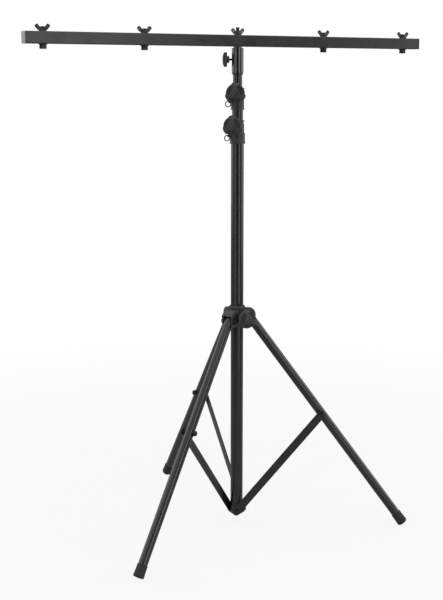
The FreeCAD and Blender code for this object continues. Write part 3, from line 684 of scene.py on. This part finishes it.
def slabSkin(halfX, halfY, corner, profile, around=slabSides):
    # A rounded rectangle carried through (inset, height) pairs: its sides and corner radius shrink by
    # the inset. A corner as large as the half width makes a strap with round ends.
    leastRound = 0.02
    turn = (np.arange(around) + 0.5) * 2 * np.pi / around
    inset, height = np.array(profile, float)[:, :1], np.array(profile, float)[:, 1:]
    rounding = np.maximum(corner - inset, leastRound)
    x = np.sign(np.cos(turn)) * (halfX - inset - rounding) + rounding * np.cos(turn)
    y = np.sign(np.sin(turn)) * (halfY - inset - rounding) + rounding * np.sin(turn)
    rings = np.stack([x, y, height + 0 * x], -1)
    return shell(rings * mm)


def easedEdge(thickness, ease, inset):
    # (inset, height) pairs of a plate from its back face to its front, both edges a quarter circle.
    turn = np.linspace(0, np.pi / 2, 5)
    back = np.stack([ease * (1 - np.sin(turn)), ease * (1 - np.cos(turn))], -1)
    front = np.stack([back[::-1, 0], thickness - back[::-1, 1]], -1)
    return [(inset, 0), *back.tolist(), *front.tolist(), (inset, thickness)]


def alongReach(node, direction):
    # Lowest and highest distance of a node's points along a direction, in millimetres.
    mesh = nodes[node].data
    points = np.empty(len(mesh.vertices) * 3)
    mesh.vertices.foreach_get("co", points)
    reach = points.reshape(-1, 3) @ np.array(direction, float)
    return reach.min() / mm, reach.max() / mm


# clamp knobs
# steps are (start of the drop, level after it), ribs are (middle, width, height), out from the axis
knob = {
    "around": 216,
    "rows": 74,
    "radius": 25.6,
    "gripRadius": 28.8,
    "gripHalfAngle": 22.0,
    "gripEase": 4.0,
    "bossRadius": 11.5,
    "bossLength": 6.0,
    "bossEase": 0.8,
    "bossRoot": 1.0,
    "bossFlare": 0.5,
    "rimStart": 9.0,
    "rimEnd": 15.5,
    "front": 24.0,
    "edge": 1.6,
    "panelHalfWidth": 13.5,
    "steps": ((12.6, 17.3), (18.0, 14.2)),
    "ribs": ((15.6, 1.5, 2.4), (20.8, 1.3, 2.0)),
    "ribFade": 1.5,
    "softness": 0.8,
    "spins": {"lower_clamp": 0.0, "upper_clamp": 0.0, "hub_clamp": 8.0},
    "screw": {"radius": 4.0, "pitch": 1.25, "depth": 0.45, "chamfer": 0.5},
}


def smoothStep(value):
    value = np.clip(value, 0, 1)
    return value * value * (3 - 2 * value)


def edgeFall(radius, outline, edge):
    # A quarter circle's drop over the last stretch before the outline.
    inwards = ((radius - outline + edge) / edge).clip(0, 1)
    return edge * (1 - np.sqrt(np.clip(1 - inwards**2, 0, 1)))


def gripBack(form, outline):
    # Radii and heights from the boss's back face, over its flare, to the eased edge of the rim.
    boss, length, ease, edge = form["bossRadius"], form["bossLength"], form["bossEase"], form["edge"]
    spots = [(boss * 0.4, 0), (boss - ease, 0), (boss - 0.2, 0.2), (boss, ease)]
    spots += [(boss, length - form["bossRoot"]), (boss + form["bossFlare"], length)]
    radii = [np.full(len(outline), radius) for radius, _ in spots]
    heights = [np.full(len(outline), height) for _, height in spots]
    for inset, level in ((edge, 0.0), (edge * 0.3, edge * 0.3), (0.0, edge)):
        radii.append(outline - inset)
        heights.append(np.full(len(outline), form["rimStart"] + level))
    return radii, heights


def knobSkin(spin):
    # Polar surface: the outline swells at three grips, the front is a sphere's cap, and beyond a chord
    # of each panel it drops by steps that carry raised ribs.
    turn = fullTurn(knob["around"])
    gripTurn = (turn + np.pi / 3) % (2 * np.pi / 3) - np.pi / 3
    panelTurn = turn % (2 * np.pi / 3) - np.pi / 3
    halfGrip, ease = math.radians(knob["gripHalfAngle"]), math.radians(knob["gripEase"])
    swell = smoothStep((halfGrip + ease - np.abs(gripTurn)) / (2 * ease))
    outline = knob["radius"] + (knob["gripRadius"] - knob["radius"]) * swell
    rise = knob["front"] - knob["rimEnd"]
    sphere = (knob["radius"] ** 2 + rise**2) / (2 * rise)
    share = np.linspace(1, 0.02, knob["rows"])[:, None]
    radius = share * outline
    height = knob["front"] - sphere + np.sqrt(np.maximum(sphere**2 - radius**2, 1))
    chord = radius * np.cos(panelTurn)
    side = np.abs(radius * np.sin(panelTurn))
    inPanel = smoothStep((knob["panelHalfWidth"] - side) / knob["softness"] + 0.5)
    floor = height.copy()
    for start, level in knob["steps"]:
        drop = smoothStep((chord - start) / knob["softness"])
        floor = floor + (np.minimum(floor, level) - floor) * drop
    for middle, width, tall in knob["ribs"]:
        ridge = smoothStep(knob["ribFade"] - np.abs(chord - middle) / (width / 2))
        floor = np.minimum(floor + tall * ridge, height)
    height = height + (floor - height) * inPanel
    height = height - edgeFall(radius, outline, knob["edge"])
    height = np.maximum(height, knob["rimStart"] + knob["edge"])
    radii, heights = gripBack(knob, outline)
    angle = turn - math.radians(spin)
    return polarShell(np.vstack([*radii, radius]), np.vstack([*heights, height]), angle)


def makeGrip(clamp, skin, screw):
    # A knob and its screw, each laid along the clamp's axis where its own node lies.
    joint = joints[clamp + "_turn"]
    axis = np.array(joint["axis"])
    base = np.array([0, 0, joint["pos_m"][2]])
    back, _ = alongReach(clamp + "_knob", axis)
    grip = placed(skin, base + axis * back * mm, axis)
    makePiece(clamp + "Knob", [grip], "moulded_plastic", clamp + "_knob")
    near, far = alongReach(clamp + "_screw", axis)
    thread = placed(threadSkin(low=near, high=far, **screw), base, axis)
    makePiece(clamp + "Screw", [thread], "black_steel", clamp + "_screw")


def makeKnobs():
    for clamp, spin in knob["spins"].items():
        makeGrip(clamp, knobSkin(spin), knob["screw"])
    print("clamp knobs ready")


# star knob
star = {
    "around": 144,
    "rows": 40,
    "tipRadius": 19.4,
    "hollowRadius": 16.2,
    "lobes": 6,
    "lobePower": 0.75,
    "bossRadius": 9.2,
    "bossLength": 6.0,
    "bossEase": 0.7,
    "bossRoot": 0.8,
    "bossFlare": 0.8,
    "rimStart": 6.0,
    "thickness": 13.0,
    "crown": 4.6,
    "edge": 2.2,
    "dimple": 0.9,
    "dimpleRadius": 6.0,
    "dimpleFade": 1.3,
    "screw": {"radius": 3.0, "pitch": 1.0, "depth": 0.4, "chamfer": 0.4},
}


def starSkin():
    # Polar surface: the outline is a rounded cosine wave of six lobes, the front a shallow cap with a
    # small dimple, and the rim a quarter circle front and back.
    turn = fullTurn(star["around"])
    wave = ((1 + np.cos(star["lobes"] * turn)) / 2) ** star["lobePower"]
    outline = star["hollowRadius"] + (star["tipRadius"] - star["hollowRadius"]) * wave
    top = star["rimStart"] + star["thickness"]
    share = np.linspace(1, 0.03, star["rows"])[:, None]
    radius = share * outline
    height = top - star["crown"] * (radius / star["tipRadius"]) ** 2
    height = height - star["dimple"] * smoothStep(star["dimpleFade"] - radius / star["dimpleRadius"])
    height = height - edgeFall(radius, outline, star["edge"])
    radii, heights = gripBack(star, outline)
    return polarShell(np.vstack([*radii, radius]), np.vstack([*heights, height]), turn)


def makeStar():
    makeGrip("star", starSkin(), star["screw"])
    print("star knob ready")


# bar: wing nuts, bolts, washers and end caps
wingNut = {
    "flange": 9.2,
    "neck": 7.0,
    "height": 9.5,
    "bore": 5.05,
    "wingHalfWidth": 4.8,
    "wingLength": 15.0,
    "wingHalfThick": 1.6,
    "recess": 0.75,
    "splay": 38.0,
    "rootRadius": 7.2,
    "rootHeight": 3.0,
    "corner": 3.1,
    # wear value given to the wings' recessed faces, which makes them lighter all over
    "lightFace": 1.0,
    "azimuths": {"wing_nut_1": -29, "wing_nut_2": -17, "centre_wing_nut": -10, "wing_nut_3": -2,
                 "wing_nut_4": -5},
}
hanging = {
    "boltRadius": 4.97,
    "pitch": 1.5,
    "acrossFlats": 17.0,
    "headHeight": 6.4,
    "nutHeight": 4.0,
    "washerRadius": 11.25,
    "washerThick": 2.0,
    "upperWasher": 10.5,
    "upperBore": 5.3,
    "upperThick": 1.6,
    "nutBite": 0.3,
    "seam": 0.05,
    "underNut": 1.0,
}


def wingSkin(side):
    # A plate with a raised bead round a recessed face, leant outwards from the nut's body.
    thick, dip = wingNut["wingHalfThick"], wingNut["recess"]
    front = [(3.3, thick - dip), (1.95, thick - dip), (1.6, thick - dip * 0.75), (1.2, thick - 0.08),
             (0.85, thick), (0.45, thick - 0.12), (0.16, thick - 0.45), (0.0, thick * 0.45)]
    back = [(inset, -height) for inset, height in reversed(front)]
    half = wingNut["wingLength"] / 2
    skin = slabSkin(wingNut["wingHalfWidth"], half, wingNut["corner"], front + back)
    points = skin[0][:, [0, 2, 1]] * (1, -1, 1)
    points = points + np.array([0, 0, half * mm])
    lean = math.radians(wingNut["splay"]) * side
    turn = np.array([[math.cos(lean), 0, math.sin(lean)], [0, 1, 0], [-math.sin(lean), 0, math.cos(lean)]])
    points = points @ turn.T + np.array([side * wingNut["rootRadius"], 0, wingNut["rootHeight"]]) * mm
    return points, skin[1], skin[2]


def lightenWingFaces(piece, skins):
    # The recessed faces, the first and last rings of each wing and their two fan points, get the full wear value,
    # which makes them lighter all over.
    values = np.empty(len(piece.data.vertices), np.float32)
    wear = piece.data.attributes["wear"].data
    wear.foreach_get("value", values)
    offset = len(skins[0][0])
    for skin in skins[1:]:
        count = len(skin[0])
        values[offset:offset + slabSides] = wingNut["lightFace"]
        values[offset + count - 2 - slabSides:offset + count] = wingNut["lightFace"]
        offset += count
    wear.foreach_set("value", values)


def makeWingNuts():
    body = turnedSkin(
        [(wingNut["bore"], 0, 0.5), (wingNut["flange"], 0, 0.4), (wingNut["flange"] - 0.2, 1.8, 0.5),
         (wingNut["neck"] + 0.7, 3.0, 1.0), (wingNut["neck"], wingNut["height"], 0.7),
         (wingNut["bore"], wingNut["height"], 0.5)],
        64,
    )
    skins = [body, wingSkin(-1), wingSkin(1)]
    for nut, azimuth in wingNut["azimuths"].items():
        low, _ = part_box(nut)
        spot = np.array([joints[nut + "_turn"]["pos_m"][0], 0, low.z])
        c, s = math.cos(math.radians(azimuth)), math.sin(math.radians(azimuth))
        turn = np.array([[c, -s, 0], [s, c, 0], [0, 0, 1]])
        turned = [(points @ turn.T + spot, quads, fans) for points, quads, fans in skins]
        piece = makePiece(nut.replace("_", "-"), turned, "black_steel", nut)
        # the wings' recessed faces are made lighter all over
        lightenWingFaces(piece, skins)
    print("wing nuts ready")


def alongBar(skin, x):
    return skin[0] + np.array([x, 0, 0]) * mm, skin[1], skin[2]


def makeBolts():
    seam, bore = hanging["seam"], hanging["boltRadius"] - hanging["nutBite"]
    barLow, barHigh = (corner.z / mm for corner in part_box("t_bar"))
    washers = []
    for number in "1234":
        node = "hanging_bolt_" + number
        x = joints["wing_nut_" + number + "_turn"]["pos_m"][0] / mm
        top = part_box(node)[1].z / mm
        under = barLow - hanging["washerThick"]
        nutLow = under - hanging["nutHeight"]
        head = nutLow - hanging["headHeight"]
        skins = [
            threadSkin(hanging["boltRadius"], hanging["pitch"], nutLow - hanging["underNut"], top),
            hexSkin(hanging["acrossFlats"], head, nutLow - seam),
            hexSkin(hanging["acrossFlats"], nutLow + seam, under - seam, bore),
            washer(hanging["washerRadius"], bore, under, barLow),
        ]
        makePiece("hangingBolt" + number, [alongBar(skin, x) for skin in skins], "black_steel", node)
        washers.append(x)
    ring = washer(hanging["upperWasher"], hanging["upperBore"], barHigh, barHigh + hanging["upperThick"])
    makePiece("upperWashers", [alongBar(ring, x) for x in [0.0, *washers]], "black_steel", "wing_nut_washers")
    low, high = (corner.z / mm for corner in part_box("centre_bolt"))
    thread = threadSkin(hanging["boltRadius"], hanging["pitch"], low, high)
    makePiece("centreBolt", [thread], "black_steel", "centre_bolt")
    print("bar bolts ready")


endCap = {
    "ease": 0.7,
    "corner": 2.5,
    "plugSide": 25.9,
    "plugLength": 16.0,
    "plugCorner": 0.6,
    "plugEase": 0.5,
    "plugInset": 8.0,
}


def makeEndCaps():
    low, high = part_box("t_bar")
    half = (high.z - low.z) / 2 / mm
    middle = (high.z + low.z) / 2
    thick = (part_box("bar_end_caps")[1].x - high.x) / mm
    plate = slabSkin(half, half, endCap["corner"], easedEdge(thick, endCap["ease"], half * 0.8))
    plugHalf = endCap["plugSide"] / 2
    plugEdge = easedEdge(endCap["plugLength"], endCap["plugEase"], endCap["plugInset"])
    plug = slabSkin(plugHalf, plugHalf, endCap["plugCorner"], plugEdge)
    skins = []
    for side, end in ((-1, low.x), (1, high.x)):
        skins.append(placed(plate, (end, 0, middle), (side, 0, 0)))
        skins.append(placed(plug, (end, 0, middle), (-side, 0, 0)))
    makePiece("barEndCaps", skins, "cap_plastic", "bar_end_caps")
    print("end caps ready")


# collars
collarShape = {"edge": 0.45, "seam": 0.05, "shoulderDrop": 1.2, "bossInset": 1.0}
collars = {
    "lower_collar": {
        "tube": 17.5, "bore": 15.25, "low": 20.5, "high": 18.2, "groove": 16.25, "lip": 1.4, "rim": 1.1,
        "tubeNode": "outer_tube", "clamp": "lower_clamp",
    },
    "upper_collar": {
        "tube": 15.0, "bore": 12.75, "low": 17.8, "high": 16.7, "groove": 14.45, "lip": 1.0, "rim": 3.0,
        "tubeNode": "middle_tube", "clamp": "upper_clamp",
    },
}
collarBoss = {"bore": 4.3, "radius": 11.0, "end": 31.8, "rootRadius": 13.0, "rootEnd": 20.5}


def bossSkin(boss, start):
    # The clamp boss about its screw: a flared root, a straight barrel and an eased mouth round a bore.
    bore = boss["bore"]
    return turnedSkin(
        [(bore, start, 0.1), (boss["rootRadius"], start, 0.1), (boss["rootRadius"], boss["rootEnd"] - 2.5, 2),
         (boss["radius"], boss["rootEnd"], 2), (boss["radius"], boss["end"], 0.9), (bore, boss["end"], 0.5)],
        64,
    )


def makeCollars():
    for node, form in collars.items():
        low, high = (corner.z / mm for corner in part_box(node))
        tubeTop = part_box(form["tubeNode"])[1].z / mm
        shoulder = tubeTop - collarShape["shoulderDrop"]
        wide, narrow = form["low"], form["high"]
        lip, rim = wide + form["lip"], narrow + form["rim"]
        edge, seam = collarShape["edge"], collarShape["seam"]
        barrel = turnedSkin(
            [(form["tube"] + seam, low, 0.2), (lip, low, edge), (lip - 0.1, low + 1.2, edge),
             (wide, low + 4.2, 1.6), (wide, shoulder - 5.0, 2.2), (narrow, shoulder, 2.2),
             (narrow, high - 9.4, 1.6), (form["groove"], high - 5.8, 0.5), (form["groove"], high - 5.0, 0.5),
             (rim, high - 1.0, edge), (rim, high, edge), (form["bore"], high, 0.3),
             (form["bore"], tubeTop + seam, 0.1), (form["tube"] + seam, tubeTop, 0.1)],
            around=96,
        )
        joint = joints[form["clamp"] + "_turn"]
        axis = np.array(joint["axis"])
        bossStart = form["bore"] + collarShape["bossInset"]
        boss = placed(bossSkin(collarBoss, bossStart), (0, 0, joint["pos_m"][2]), axis)
        makePiece(node.replace("_", "-"), [barrel, boss], "moulded_plastic", node)
    print("collars ready")


# hub, an eased copy of its node
hubEase = {"weld": 0.002, "flatAngle": 1.2, "edgeAngle": 28.0, "width": 0.9, "segments": 3}


def makeHub():
    # The node's own shape with doubles merged, coplanar triangles joined and its edges eased.
    made = bmesh.new()
    made.from_mesh(nodes["hub"].data)
    bmesh.ops.remove_doubles(made, verts=made.verts, dist=hubEase["weld"] * mm)
    flat = math.radians(hubEase["flatAngle"])
    bmesh.ops.dissolve_limit(made, angle_limit=flat, verts=made.verts, edges=made.edges)
    points = [vertex.co.copy() for vertex in made.verts]
    made.verts.index_update()
    faces = [[vertex.index for vertex in face.verts] for face in made.faces]
    made.free()
    mesh = bpy.data.meshes.new("slidingHub")
    mesh.from_pydata(points, [], faces)
    piece = dressMesh("slidingHub", mesh, "moulded_plastic", ["hub"], hubEase["edgeAngle"])
    bevel = piece.modifiers.new("eased", "BEVEL")
    bevel.width = hubEase["width"] * mm
    bevel.segments = hubEase["segments"]
    bevel.limit_method = "ANGLE"
    bevel.angle_limit = math.radians(hubEase["edgeAngle"])
    bevel.harden_normals = True
    bevel.use_clamp_overlap = True
    print("hub ready")


# legs, braces and their fasteners
pivotBolt = {
    "radius": 4.0,
    "across": 13.0,
    "head": 5.3,
    "nut": 6.5,
    "washer": 8.0,
    "washerThick": 1.5,
    "tail": 1.2,
    "spacer": 7.0,
    "saddle": 1.4,
    "pitch": 1.25,
    "threadDepth": 0.45,
    "threadChamfer": 0.6,
    "nutBite": 0.3,
    "washerBite": 0.2,
    "strapGap": 0.2,
    "footBoltStart": 8.0,
    "footSpacerStart": 17.0,
}
brace = {"halfWidth": 11.2, "thick": 3.0, "offset": 19.5, "ease": 0.75, "around": 96}
rubberFoot = {
    "sole": 12.25, "bevel": 14.0, "wide": 14.75, "top": 13.7, "lip": 14.3, "bore": 12.5, "core": 4.0,
    "length": 33.0,
    "wallStart": 2.5, "wallEnd": 3.0, "wallRows": 70,
    "grooves": (9.0, 13.0, 17.0), "grooveDepth": 0.45, "grooveHalf": 0.5, "grooveFade": 1.6,
}
legTube = {"radius": 12.5, "lugSide": 15.9}


def legLine(name):
    # Hub pivot, brace pivot, unit vector down the leg and unit vector across it, from the record.
    pivot = np.array(joints["leg_turn_" + name]["pos_m"])
    hub = np.array(joints["hub_turn"]["pos_m"])
    outwards = pivot[:2] / np.linalg.norm(pivot[:2])
    top = np.array([*(outwards * np.linalg.norm(hub[:2])), hub[2]])
    down = (pivot - top) / np.linalg.norm(pivot - top)
    across = np.array([-outwards[1], outwards[0], 0])
    return top, pivot, down, across


# skins of the pivot bolts' pieces, drawn along Z between two heights
def shank(low, high):
    return rod(pivotBolt["radius"], low, high)


def nutThread(low, high):
    depth, chamfer = pivotBolt["threadDepth"], pivotBolt["threadChamfer"]
    return threadSkin(pivotBolt["radius"], pivotBolt["pitch"], low, high, depth, chamfer)


def boltHead(low, high):
    return hexSkin(pivotBolt["across"], low, high)


def boltNut(low, high):
    return hexSkin(pivotBolt["across"], low, high, pivotBolt["radius"] - pivotBolt["nutBite"])


def boltRing(radius, low, high):
    return washer(radius, pivotBolt["radius"] - pivotBolt["washerBite"], low, high)


def bracePivotStack():
    size, leg = pivotBolt, legTube["radius"]
    inner = brace["offset"] - brace["thick"] / 2
    face = inner + brace["thick"] + size["strapGap"]
    head = face + size["washerThick"]
    nutLow = leg + size["washerThick"]
    nutHigh = nutLow + size["nut"]
    return [
        shank(-head - 1, nutLow),
        nutThread(nutLow, nutHigh + size["tail"]),
        boltHead(-head - size["head"], -head),
        boltRing(size["washer"], -head, -face),
        boltRing(size["spacer"], -inner + size["strapGap"] / 2, -leg + size["saddle"]),
        boltRing(size["washer"], leg, nutLow),
        boltNut(nutLow, nutHigh),
    ]


def hubPivotStack():
    size, side = pivotBolt, legTube["lugSide"]
    face = side + size["washerThick"]
    nutHigh = face + size["nut"]
    return [
        shank(-face - 1, face),
        nutThread(face, nutHigh + size["tail"]),
        boltHead(-face - size["head"], -face),
        boltRing(size["washer"], -face, -side),
        boltRing(size["washer"], side, face),
        boltNut(face, nutHigh),
    ]


def footBoltStack():
    size = pivotBolt
    inner = brace["offset"] - brace["thick"] / 2 - size["strapGap"] / 2
    face = brace["offset"] + brace["thick"] / 2 + size["strapGap"]
    head = face + size["washerThick"]
    return [
        shank(size["footBoltStart"], head + 1),
        boltHead(head, head + size["head"]),
        boltRing(size["washer"], face, head),
        boltRing(size["washer"], size["footSpacerStart"], inner),
    ]


def footSkin():
    # Turned profile from the sole up: eased edge, tapering wall with shallow grooves, lip and bore.
    form = rubberFoot
    wallLow, wallHigh = form["wallStart"], form["length"] - form["wallEnd"]
    heights = np.linspace(wallLow, wallHigh, form["wallRows"])
    wall = form["wide"] + (form["top"] - form["wide"]) * (heights - wallLow) / (wallHigh - wallLow)
    for groove in form["grooves"]:
        dent = smoothStep(form["grooveFade"] - np.abs(heights - groove) / form["grooveHalf"])
        wall = wall - form["grooveDepth"] * dent
    lipLow, top = form["length"] - 2.9, form["length"]
    profile = [(form["sole"] * 0.3, 0), (form["sole"], 0), (13.3, 0.25), (form["bevel"], 0.75), (14.5, 1.5)]
    profile += list(zip(wall, heights))
    profile += [(form["lip"] - 0.2, lipLow), (form["lip"], lipLow + 0.3), (form["lip"], top - 0.5)]
    profile += [(form["lip"] - 0.4, top), (form["bore"] + 0.2, top), (form["bore"], top - 0.4)]
    profile += [(form["core"], top - 0.4)]
    return turnedSkin(profile, 72, loop=False)


def makeLegs():
    hubBolts, footBolts = [], []
    halfWidth = brace["halfWidth"]
    strapEdge = easedEdge(brace["thick"], brace["ease"], halfWidth * 0.8)
    for name in ("right", "rear", "left"):
        top, pivot, down, across = legLine(name)
        start = np.array([0, 0, joints["leg_fold"]["pos_m"][2]])
        up = (pivot - start) / np.linalg.norm(pivot - start)
        _, far = alongReach("foot_" + name, down)
        sole = top + down * (far * mm - float(top @ down))
        points, quads, fans = placed(footSkin(), sole, -down, across)
        points[:, 2] = np.maximum(points[:, 2], 0)  # pressed flat on the floor
        makePiece("foot-" + name, [(points, quads, fans)], "foot_rubber", "foot_" + name)
        halfLength = np.linalg.norm(pivot - start) / mm / 2 + halfWidth
        flat, quads, fans = slabSkin(halfWidth, halfLength, halfWidth, strapEdge, brace["around"])
        middle = (pivot + start) / 2 - across * (brace["offset"] + brace["thick"] / 2) * mm
        basis = np.array([np.cross(up, across), up, across])
        makePiece("brace-" + name, [(flat @ basis + middle, quads, fans)], "tube_paint", "brace_" + name)
        stack = [placed(skin, pivot, across, down) for skin in bracePivotStack()]
        makePiece("braceBolt-" + name, stack, "black_steel", "brace_bolt_" + name)
        hubBolts += [placed(skin, top, across, down) for skin in hubPivotStack()]
        footBolts += [placed(skin, start, -across, (0, 0, 1)) for skin in footBoltStack()]
        paint = makeFinish("tubePaint-" + name, paintLook, down)
        paintNode("leg_" + name, paint)
    makePiece("hubPivotBolts", hubBolts, "black_steel", "hub_pivot_bolts")
    makePiece("braceFootBolts", footBolts, "black_steel", "brace_foot_bolts")
    print("legs and braces ready")


# split rings on the safety pins
splitRing = {
    "radius": 7.5,
    "wide": 1.25,
    "wire": 0.65,
    "turns": 2.0,
    "endGap": 0.12,
    "crossing": 1.0,
    "shift": 0.46,
    "steps": 150,
    "around": 14,
}


def ringSkin(centre, first, second, normal):
    # A wire coiled twice: the point at turn t lies on the mid circle, and its distance out of the
    # ring's plane steps from one side to the other half way along.
    end = splitRing["turns"] * 2 * np.pi - splitRing["endGap"]
    turn = np.linspace(0, end, splitRing["steps"])[:, None, None]
    angle = fullTurn(splitRing["around"])[None, :, None]
    wire, crossing = splitRing["wire"], splitRing["crossing"]
    half = splitRing["turns"] * np.pi
    offset = wire * (2 * smoothStep((turn - half + crossing / 2) / crossing) - 1)
    outwards = np.cos(turn) * first + np.sin(turn) * second
    reach = splitRing["radius"] + splitRing["wide"] * np.cos(angle)
    rings = centre / mm + reach * outwards + (offset + wire * np.sin(angle)) * normal
    return shell(rings * mm)


def makeRings():
    for name in ("lower_safety", "upper_safety"):
        joint = joints[name + "_ring_swing"]
        eye = np.array(joint["pos_m"])
        wire = np.array(joint["axis"])
        pull = np.array(joints[name + "_pull"]["axis"])
        normal = np.cross(pull, wire)
        normal = normal / np.linalg.norm(normal)
        inwards = np.cross(normal, wire)
        if inwards[2] > 0:
            inwards = -inwards
        centre = eye + inwards * (splitRing["radius"] - splitRing["shift"]) * mm
        skin = ringSkin(centre, inwards, np.cross(normal, inwards), normal)
        makePiece(name.replace("_", "-") + "-ring", [skin], "ring_steel", name + "_pin_ring")
    print("split rings ready")


# nodes that keep their own shape
nodeFinish = {
    "tube_paint": ["outer_tube", "middle_tube", "top_tube"],
    "bar_paint": ["t_bar"],
    "socket_metal": ["top_socket", "bar_spigot"],
    "cap_plastic": ["foot_plug", "leg_plug_right", "leg_plug_rear", "leg_plug_left"],
    "bush_plastic": ["lower_bush", "upper_bush", "middle_guide", "top_guide"],
    "black_steel": ["lower_safety_pin", "upper_safety_pin"],
    "pad_brass": ["hub_clamp_pad", "lower_clamp_pad", "upper_clamp_pad", "star_pad"],
}
for slotName, names in nodeFinish.items():
    for nodeName in names:
        paintNode(nodeName, finishes[slotName])

makeKnobs()
makeStar()
makeWingNuts()
makeBolts()
makeEndCaps()
makeCollars()
makeHub()
makeLegs()
makeRings()
